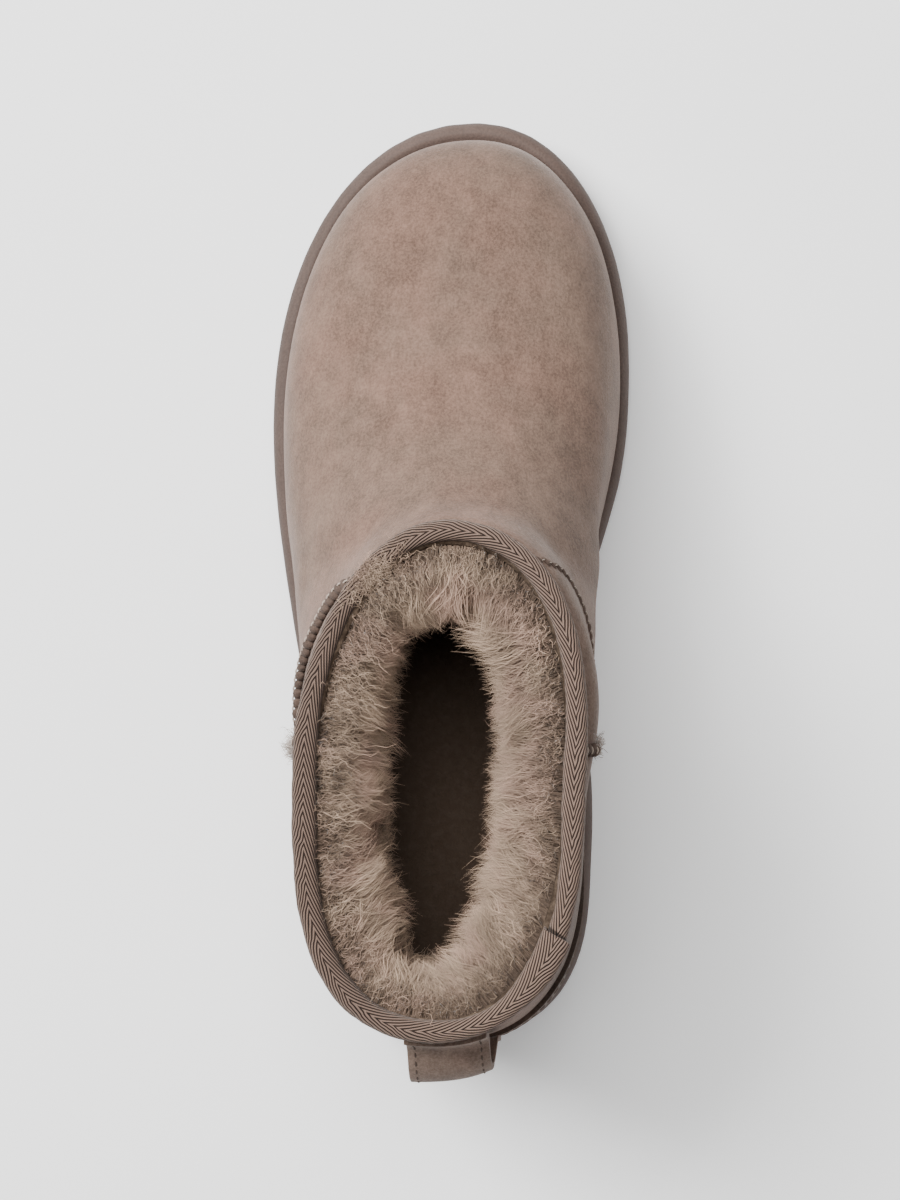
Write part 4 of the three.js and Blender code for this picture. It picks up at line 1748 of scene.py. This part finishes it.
@dataclass
class Fleece:
    """The long wool at the collar: locks that flow inwards and down from under the binding."""

    axis: Pair = (31.5 * MM, 1.0 * MM)
    locks: int = 3130
    fibres: int = 17
    frizz: int = 12900
    # The dark opening that the wool leaves: its middle, its half length and half width, and how square its
    # front and its back are.
    hole_at: Pair = (27.5, 2.2)
    hole_size: Pair = (44.5, 13.6)
    hole_powers: Pair = (2.9, 1.75)
    wall_size: Pair = (63.0, 33.0)
    # Depths below the collar at which locks grow, and how much they crowd at the shallow end.
    shallow: float = 6.0
    deep: float = 58.0
    crowding: float = 2.1
    # Over what depth the locks count as high ones, and how shallow a single fibre may grow.
    high_over: float = 15.0
    least_depth: float = 4.0
    # How locks sway to their sides together, as bumps a metre, a seed and a reach, and each one's own reach.
    sways: Sequence[Triple] = ((48, 3.1, 14), (130, 5.7, 12), (310, 6.3, 8))
    sway_alone: float = 2.0
    # The share of the way to the opening that a lock reaches, the most that it may, and how much that goes
    # together, as bumps a metre and a seed, then a share.
    reach: Pair = (0.55, 0.98)
    reach_most: Pair = (0.94, 1.03)
    lush: Pair = (105, 8.2)
    lush_share: float = 0.5
    # How far tips lie higher or lower: each one's own share, what goes together, and the mean drop below the
    # root, less for high locks.
    rise_alone: float = 1.2
    rise_together: float = 4.5
    rise_drift: Pair = (115, 1.9)
    drop: float = 9.5
    drop_high: float = 4.5
    # The tone of a lock: its mean, each one's own share and what goes together, then how it grows with the
    # lock's reach, grows towards the toe as painted light, and falls on the inner side as painted shade.
    tone: float = 0.5
    tone_alone: float = 0.13
    tone_together: float = 0.85
    tone_drift: Pair = (130, 1.9)
    tone_reach: float = 0.3
    toe_light_tone: float = 0.07
    inner_shade_tone: float = 0.62
    # How the fibres of a lock differ from it: at the root, in length, in tone, in phase and at the tip.
    fibre_spread: float = 1.9
    fibre_length: Pair = (0.86, 1.03)
    fibre_tone: float = 0.07
    fibre_phase: float = 0.45
    fibre_jitter: float = 0.5
    # The least length that a lock is worked out from, and how its fibres gather and face inwards.
    least_room: float = 6.0
    gather: float = 0.5
    facing: Pair = (0.9, 0.22)
    # How far the dark roots, painted shade beside the binding, reach: the least, how much more on the outer
    # side, and where that begins.
    dark: Triple = (0.1, 0.72, 0.15)
    # Stray fibres: their share and their jitter.
    stray: float = 0.05
    stray_jitter: float = 1.3
    # How high a fibre arches: for high locks, for all, and where the wool lies sunk.
    arch: Triple = (4.2, 1.0, 2.6)
    # The width of a fibre, the height of its waves and how far they turn from root to tip.
    fibre_width: float = 0.18
    fibre_wave: float = 0.75
    fibre_curl: float = 10.0
    # The frizz: its depth, its fibres' length, width, waves and curl, how far in it grows and how much
    # further on the outer side, how high it stands, and its tone's mean and spread, dark as painted shade
    # beside the binding.
    frizz_depth: Pair = (5.5, 15.0)
    frizz_length: Pair = (2.5, 6.0)
    frizz_width: float = 0.16
    frizz_wave: float = 0.5
    frizz_curl: float = 11.0
    frizz_in: Pair = (4.5, 3.5)
    frizz_height: float = 4.5
    frizz_tone: Pair = (0.24, 0.12)
    # Where the wool lies sunk beside the binding and where it stands proud: direction and width.
    sunk_at: Sequence[Pair] = ((math.radians(148), 0.42), (math.radians(-128), 0.62))
    proud_at: Pair = (0.42, 0.45)
    # The table of the bed: how many directions and depths, its first depth and how far past deep it runs.
    table_size: tuple[int, int] = (181, 40)
    table_depths: Pair = (3.0, 12.0)
    rng: np.random.Generator = field(default_factory=lambda: np.random.default_rng(WOOL_SEED))
    pieces: list[Piece] = field(default_factory=list)
    angles: Array = field(init=False)
    depths: Array = field(init=False)
    table: Array = field(init=False)
    lengths: Array = field(init=False)
    turns: Array = field(init=False)

    def _measure(self, rays: Rays, binding: CollarBinding) -> None:
        """Reads points of the bed by direction and depth below the collar, and the way round the collar.

        Args:
            rays: finds points on the fleece bed.
            binding: the built binding.
        """
        self.angles = np.linspace(-math.pi, math.pi, self.table_size[0])
        first, below = self.table_depths
        self.depths = np.linspace(first, self.deep + below, self.table_size[1]) * MM
        collar = np.arctan2(binding.centre[:, 1] - self.axis[1], binding.centre[:, 0] - self.axis[0])
        order = np.argsort(collar)
        tops = np.interp(self.angles, collar[order], binding.centre[order, 2], period=2 * math.pi)
        self.table = np.zeros((*self.table_size, 3))
        for i, angle in enumerate(self.angles):
            for j, depth in enumerate(self.depths):
                found = rays.around(self.axis, angle, tops[i] - depth)
                self.table[i, j] = found[0] if found else self.table[i, j - 1]
        ring = np.vstack([binding.centre, binding.centre[:1]])
        self.lengths = np.r_[0, np.cumsum(np.linalg.norm(np.diff(ring, axis=0), axis=1))]
        self.turns = np.unwrap(np.arctan2(ring[:, 1] - self.axis[1], ring[:, 0] - self.axis[0]))

    def _look_up(self, angle: Array, depth: Array) -> Array:
        """Points of the bed between those of the table.

        Args:
            angle: directions about the shaft.
            depth: depths below the collar, in metres.

        Returns:
            A point for each pair.
        """
        angle = (angle + math.pi) % (2 * math.pi) - math.pi
        i = (angle - self.angles[0]) / (self.angles[1] - self.angles[0])
        j = (depth - self.depths[0]) / (self.depths[1] - self.depths[0])
        i = np.clip(i, 0, len(self.angles) - 1.001)
        j = np.clip(j, 0, len(self.depths) - 1.001)
        i0, j0 = i.astype(int), j.astype(int)
        fi, fj = (i - i0)[:, None], (j - j0)[:, None]
        low = self.table[i0, j0] * (1 - fj) + self.table[i0, j0 + 1] * fj
        high = self.table[i0 + 1, j0] * (1 - fj) + self.table[i0 + 1, j0 + 1] * fj
        return low * (1 - fi) + high * fi

    def _hole(self, points: Array) -> Array:
        """Where on the opening's edge the wool over each point of the bed ends.

        Args:
            points: points of the bed.

        Returns:
            Places along and across the boot.
        """
        centre = np.array(self.hole_at) * MM
        side = (points[:, :2] - centre) / (np.array(self.wall_size) * MM)
        side /= np.linalg.norm(side, axis=1)[:, None]
        power = np.where(side[:, :1] > 0, *self.hole_powers)
        side = np.sign(side) * np.abs(side) ** (2 / power)
        return centre + side * np.array(self.hole_size) * MM

    @staticmethod
    def _around(angle: Array, middle: float, width: float) -> Array:
        """1 in one direction about the shaft, falling off smoothly on both sides of it."""
        return np.exp(-2 * (1 - np.cos(angle - middle)) / width**2)

    def _sunk(self, angle: Array) -> Array:
        """How far the wool lies sunk beside the binding, from 0 to 1: most at the two back corners."""
        return sum(self._around(angle, *corner) for corner in self.sunk_at)

    @staticmethod
    def _drift(along: Array, depth: Array, scale: float, seed: float) -> Array:
        """Smooth noise over the fleece, so that neighbouring locks go together."""
        return np.array([noise.noise(Vector((a * scale, d * scale, seed))) for a, d in zip(along, depth)])

    def build(self, bed: Piece, binding: CollarBinding) -> None:
        """Grows the locks, then the frizz beside the binding.

        Args:
            bed: the fleece bed.
            binding: the built binding.
        """
        self._measure(Rays(bed), binding)
        self._grow_locks()
        self._grow_frizz()

    def _plan(self, spot: Array, angle: Array) -> tuple[Array, ...]:
        """Settles how each lock lies.

        Args:
            spot: how far round the collar each lock grows.
            angle: its direction about the shaft.

        Returns:
            The locks' depths, reaches, sways to their sides, rises and tones.
        """
        rng = self.rng
        depth = self.shallow + (self.deep - self.shallow) * rng.random(self.locks) ** self.crowding
        depth = depth * MM
        sway = sum(self._drift(spot, depth, scale, seed) * size for scale, seed, size in self.sways)
        lush = self._drift(spot, depth, *self.lush)
        reach = rng.uniform(*self.reach, self.locks) * (1 + self.lush_share * lush)
        reach = np.minimum(reach, rng.uniform(*self.reach_most, self.locks))
        side = sway * MM + rng.normal(0, self.sway_alone * MM, self.locks)
        rise = rng.normal(0, self.rise_alone * MM, self.locks)
        rise = rise - self.rise_together * MM * self._drift(spot, depth, *self.rise_drift)
        tone = rng.normal(self.tone, self.tone_alone, self.locks)
        tone += self.tone_together * self._drift(spot, depth, *self.tone_drift)
        # Painted light towards the toe, painted shade on the inner side.
        tone += self.tone_reach * (reach - 0.8) + self.toe_light_tone * np.cos(angle)
        tone += self.inner_shade_tone * np.minimum(0, np.sin(angle))
        return depth, reach, side, rise, np.clip(tone, 0, 1)

    def _grow_locks(self) -> None:
        """Grows the locks, a quarter of the way round the collar in each piece."""
        rng = self.rng
        spot = rng.uniform(0, self.lengths[-1], self.locks)
        lock_angle = np.interp(spot, self.lengths, self.turns)
        lock_depth, lock_reach, lock_side, lock_rise, lock_tone = self._plan(spot, lock_angle)
        owner = np.repeat(np.arange(self.locks), self.fibres)
        count = len(owner)
        lock_root = self._look_up(lock_angle, lock_depth)[owner]
        radius = np.linalg.norm(lock_root[:, :2] - self.axis, axis=1)
        spread = rng.normal(0, self.fibre_spread * MM, (count, 2))
        fibre_angle = lock_angle[owner] + spread[:, 0] / radius
        fibre_depth = np.maximum(lock_depth[owner] + spread[:, 1], self.least_depth * MM)
        roots = self._look_up(fibre_angle, fibre_depth)
        hole = self._hole(lock_root)
        inwards = np.column_stack([hole - lock_root[:, :2], np.zeros(count)])
        room = np.linalg.norm(inwards, axis=1)
        inwards /= room[:, None]
        sideways = np.column_stack([-inwards[:, 1], inwards[:, 0], np.zeros(count)])
        top = bell(lock_depth[owner] / MM, self.shallow, self.high_over)
        length = np.maximum(room, self.least_room * MM) * lock_reach[owner]
        length = length * rng.uniform(*self.fibre_length, count)
        stray = (rng.random(count) < self.stray)[:, None]
        jitter = rng.normal(0, self.fibre_jitter * MM, (count, 3))
        jitter = jitter + stray * rng.normal(0, self.stray_jitter * MM, (count, 3))
        gather = (lock_root - roots) * self.gather
        tips = roots + gather + inwards * length[:, None] + sideways * lock_side[owner][:, None] + jitter
        tips[:, 2] -= (self.drop - self.drop_high * top) * MM + lock_rise[owner]
        bends = roots + inwards * (length * 0.5)[:, None] + jitter * 0.4
        high_arch, less, sunk = self.arch
        bends[:, 2] += (high_arch * top - less - sunk * self._sunk(fibre_angle)) * MM
        facing = np.array([0, 0, self.facing[0]]) + inwards * self.facing[1]
        tones = np.clip(lock_tone[owner] + rng.normal(0, self.fibre_tone, count), 0, 1)
        phases = rng.uniform(0, 2 * math.pi, self.locks)[owner] + rng.normal(0, self.fibre_phase, count)
        # Painted shade: the dark roots reach further on the outer side, beside the binding.
        least, more, start = self.dark
        root_shades = least + more * np.clip(np.sin(lock_angle[owner] - start), 0, 1) ** 0.7
        quarter = (spot[owner] / self.lengths[-1] * 4).astype(int)
        for number in range(4):
            own = quarter == number
            self.pieces.append(Strands(rng).mesh(
                f"wool_{number + 1}", roots[own], bends[own], tips[own], facing[own], tones[own],
                self.fibre_width * MM, self.fibre_wave * MM, self.fibre_curl, root_shades[own], phases[own],
            ))

    def _grow_frizz(self) -> None:
        """Grows short, curly fibres, dark with painted shade, where the wool comes out from under the
        binding.
        """
        rng = self.rng
        spot = rng.uniform(0, self.lengths[-1], self.frizz)
        angle = np.interp(spot, self.lengths, self.turns)
        depth = rng.uniform(*self.frizz_depth, self.frizz) * MM
        roots = self._look_up(angle, depth)
        inwards = np.column_stack([self._hole(roots) - roots[:, :2], np.zeros(self.frizz)])
        inwards /= np.linalg.norm(inwards, axis=1)[:, None]
        way = inwards * rng.uniform(0.5, 1.2, (self.frizz, 1)) + rng.normal(0, 0.5, (self.frizz, 3))
        way[:, 2] += 0.35
        outer = np.clip(np.sin(angle), 0, 1)
        shift = rng.uniform(0, 1, self.frizz) ** (1 + 0.9 * outer)
        near, more = self.frizz_in
        roots = roots + inwards * (shift * (near + more * outer) * MM)[:, None]
        proud = self._around(angle, *self.proud_at)
        height = rng.uniform(0, self.frizz_height, self.frizz)
        roots[:, 2] += height * (1 - 0.75 * self._sunk(angle) + 0.7 * proud + 0.55 * outer) * MM
        tips = roots + way * rng.uniform(*self.frizz_length, (self.frizz, 1)) * MM
        bends = (roots + tips) / 2 + rng.normal(0, 1.2 * MM, (self.frizz, 3))
        facing = np.array([0, 0, 0.85]) + inwards * 0.4
        tones = rng.normal(*self.frizz_tone, self.frizz)
        # Painted shade: the frizz is darker on the outer side.
        tones = np.clip(tones + 0.7 * self._drift(spot, depth, 110, 4.4) - 0.08 * outer, 0, 1)
        self.pieces.append(Strands(rng).mesh(
            "wool_frizz", roots, bends, tips, facing, tones,
            self.frizz_width * MM, self.frizz_wave * MM, self.frizz_curl,
        ))

    def dress(self, wool: Material) -> None:
        """Gives the wool its finish."""
        for piece in self.pieces:
            dress(piece, wool, Slot.FLEECE)


@dataclass
class WoolTufts:
    """Knots of pale wool and thread where the side seams run in under the binding."""

    # Where each tuft is (along the boot, height), which side, and how far it stands out.
    spots: Sequence[tuple[float, float, int, float]] = ((39.5, 107, 1, 3.6), (42.0, 105, -1, 1.6))
    fibres: int = 460
    fibre_width: float = 0.15
    fibre_wave: float = 0.6
    fibre_curl: float = 5.0
    # How far the roots spread along the boot, across it and upwards.
    root_spread: Triple = (1.3, 0.7, 2.3)
    tip_spread: float = 1.4
    # The lint: its direction and spread in degrees from the toe, its number, its fibres' length and width.
    lint_at: float = 20.0
    lint_spread: float = 3.6
    lint_count: int = 420
    lint_length: float = 1.7
    lint_width: float = 0.11
    fluff: Piece = field(init=False)
    tufts: Piece = field(init=False)

    def lint(self, binding: CollarBinding) -> None:
        """Scatters thin pale fibres over the binding at the front outer corner.

        Args:
            binding: the built binding.
        """
        rng = np.random.default_rng(WOOL_SEED + 2)
        turns = np.arctan2(binding.centre[:, 1] - binding.axis[1], binding.centre[:, 0] - binding.axis[0])
        goals = np.radians(rng.normal(self.lint_at, self.lint_spread, self.lint_count))
        near = np.abs(turns[None] - goals[:, None]).argmin(1)
        outwards = binding.outwards[near]
        starts = binding.centre[near] + outwards * rng.uniform(-4.4, 1.6, (len(near), 1)) * MM
        starts[:, 2] += rng.uniform(0.1, 0.9, len(near)) * MM
        way = rng.normal(0, 1, (len(near), 3)) * [1, 1, 0.25]
        tips = starts + way * self.lint_length * MM
        bends = (starts + tips) / 2 + rng.normal(0, 0.8 * MM, (len(near), 3)) * [1, 1, 0.4]
        facing = np.tile([0.0, 0.0, 1.0], (len(near), 1))
        tones = rng.uniform(0.2, 0.8, len(near))
        self.fluff = Strands(rng).mesh(
            "binding_lint", starts, bends, tips, facing, tones, self.lint_width * MM, 0.5 * MM, 9.0
        )

    def build(self, rays: Rays) -> None:
        """Grows a small curly tuft at each spot.

        Args:
            rays: finds points on the hide.
        """
        rng = np.random.default_rng(WOOL_SEED + 1)
        starts, bends, tips, facing = [], [], [], []
        for x, height, side, reach in self.spots:
            found = rays.hit((x * MM, side * ASIDE, height * MM), (0, -side, 0))
            place, normal = (np.array(part) for part in found)
            for _ in range(self.fibres):
                way = 0.8 * normal + rng.normal(0, 0.8, 3)
                way /= np.linalg.norm(way)
                start = place + rng.normal(0, 1, 3) * [part * MM for part in self.root_spread]
                tip = start + way * reach * MM * rng.uniform(0.5, 1.1)
                starts.append(start)
                bends.append((start + tip) / 2 + rng.normal(0, self.tip_spread * MM, 3))
                tips.append(tip)
                facing.append(normal + np.array([0, 0, 0.7]))
        tones = rng.uniform(0.05, 0.6, len(starts))
        self.tufts = Strands(rng).mesh(
            "seam_wool", np.array(starts), np.array(bends), np.array(tips), np.array(facing), tones,
            self.fibre_width * MM, self.fibre_wave * MM, self.fibre_curl,
        )

    def dress(self, pale: Material, wool: Material) -> None:
        """Gives the tufts and the lint their finishes."""
        dress(self.tufts, pale, Slot.FLEECE)
        dress(self.fluff, wool, Slot.FLEECE)


@dataclass
class Insole:
    """The fleecy sock on the sole."""

    edge_round: float = 2.0
    piece: Piece = field(init=False)

    def build(self) -> None:
        """Rounds the insole's edges."""
        self.piece = copy_of_node("insole", "insole_sock")
        modify(self.piece, "BEVEL", width=self.edge_round * MM, **soft_edges(0.9))
        modify(self.piece, "SUBSURF", levels=2, render_levels=2)

    def dress(self, wool: Material) -> None:
        """Gives the insole its finish."""
        dress(self.piece, wool, Slot.FLEECE, "insole")


# ---------------------------------------------------------------- studio


@dataclass
class Studio:
    """A pale floor, soft lights, and a camera high above the boot."""

    camera_place: tuple = (50.7 * MM, -48 * MM, 1.05)
    aim: tuple = (83.2 * MM, 5.6 * MM, 0.0)
    picture_up: tuple = (0.99964, 0.02668, 0.0)
    lens: float = 106.0
    # The floor's width and how far it lies under the sole, in metres.
    floor_size: float = 24.0
    floor_drop: float = 0.2 * MM
    # Each light's name, place, size and power; both face the boot.
    lights: Sequence[tuple] = (
        ("key", (0.65, 0.85, 1.35), 0.8, 54.0),
        ("crown", (0.5, 0.15, 1.95), 1.0, 36.0),
    )
    lit: tuple = (0.05, 0, 0.05)
    sky: float = 0.25

    def build(self) -> None:
        """Sets up the floor, the lights and the camera."""
        pick_only()
        bpy.ops.mesh.primitive_plane_add(size=self.floor_size, location=(0, 0, -self.floor_drop))
        floor = bpy.context.object
        floor.name = "floor"
        finish = Plain("floor", (0.95, 0.95, 0.95), grain=3.0, strength=0.02, roughness=0.9, glow=0.26)
        floor.data.materials.append(finish.material())
        for name, place, size, power in self.lights:
            self._light(name, place, size, power)
        world = bpy.data.worlds.new("studio")
        world.use_nodes = True
        background = world.node_tree.nodes["Background"]
        background.inputs["Color"].default_value = (1.0, 1.0, 1.0, 1)
        background.inputs["Strength"].default_value = self.sky
        bpy.context.scene.world = world
        self._camera()

    def _light(self, name: str, place: tuple, size: float, power: float) -> None:
        """Adds a square area light that faces the boot.

        Args:
            name: its name.
            place: where it stands.
            size: its width in metres.
            power: its power in watts.
        """
        lamp = bpy.data.lights.new(name, "AREA")
        lamp.size = size
        lamp.energy = power
        holder = bpy.data.objects.new(name, lamp)
        holder.location = place
        holder.rotation_euler = (Vector(self.lit) - Vector(place)).to_track_quat("-Z", "Y").to_euler()
        bpy.context.scene.collection.objects.link(holder)

    def _camera(self) -> None:
        """Adds the camera with its picture's top towards the toe."""
        back = (Vector(self.camera_place) - Vector(self.aim)).normalized()
        right = Vector(self.picture_up).cross(back).normalized()
        upwards = back.cross(right)
        holder = bpy.data.objects.new("camera", bpy.data.cameras.new("camera"))
        holder.data.lens = self.lens
        holder.data.clip_start = 0.01
        turn = Matrix((right, upwards, back)).transposed().to_4x4()
        holder.matrix_world = Matrix.Translation(self.camera_place) @ turn
        bpy.context.scene.collection.objects.link(holder)
        bpy.context.scene.camera = holder


def main() -> None:
    """Builds the boot, piece by piece."""
    logging.basicConfig(level=logging.INFO, format="%(name)s: %(message)s")
    Studio().build()
    suede = Suede().material()
    wool = Wool()
    pale_thread = Plain("pale_thread", (0.38, 0.31, 0.26)).material()
    # A darker, greyer copy of the suede for the heel counter: painted shade.
    shaded = Suede("suede_painted_shade", (0.128, 0.084, 0.066), (0.114, 0.083, 0.065)).material()
    # A lighter, greyer copy of the suede for the strap: painted light.
    strap = Suede("suede_strap_painted_light", (0.184, 0.124, 0.098), (0.167, 0.121, 0.096)).material()
    upper = Upper()
    upper.build()
    upper.dress(suede, wool.bed())
    hide = Rays(upper.hide)
    sole = Outsole()
    sole.build()
    sole.dress(FoamSole().material())
    binding = CollarBinding()
    binding.build()
    log.info("the lap ends %.1f mm along the tape", binding.lap_end / MM)
    binding.dress(Twill(lap_end=binding.lap_end).material())
    insole = Insole()
    insole.build()
    # The insole's wool is painted darker than the collar's: painted shade deep in the boot.
    insole.dress(Wool("insole_wool_painted_shade", (0.10, 0.068, 0.048), (0.17, 0.12, 0.09)).bed())
    seams = RaisedSeams()
    seams.build(hide)
    # A much darker copy of the suede for the seam lobes: painted shade in the seam.
    seam_shade_suede = Suede("suede_seam_painted_shade", (0.088, 0.058, 0.045), (0.079, 0.056, 0.045), sheen=0.05, painted_shade=0.0)
    seams.dress(seam_shade_suede.material(), pale_thread)
    counter = HeelCounter()
    counter.build(hide)
    counter.dress(shaded, Plain("counter_thread", (0.15, 0.108, 0.086)).material())
    loop = PullLoop()
    loop.build()
    loop_thread = Plain("loop_thread", (0.075, 0.054, 0.043)).material()
    loop.dress(strap, Plain("cut_edge", (0.16, 0.118, 0.098)).material(), loop_thread)
    strands = wool.material()
    fleece = Fleece()
    fleece.build(upper.bed, binding)
    fleece.dress(strands)
    tufts = WoolTufts()
    tufts.build(hide)
    tufts.lint(binding)
    pale_wool = Wool("pale_wool", (0.27, 0.22, 0.19), (0.48, 0.41, 0.36), (0.46, 0.38, 0.33))
    tufts.dress(pale_wool.material(), strands)


if __name__ == "__main__":
    main()
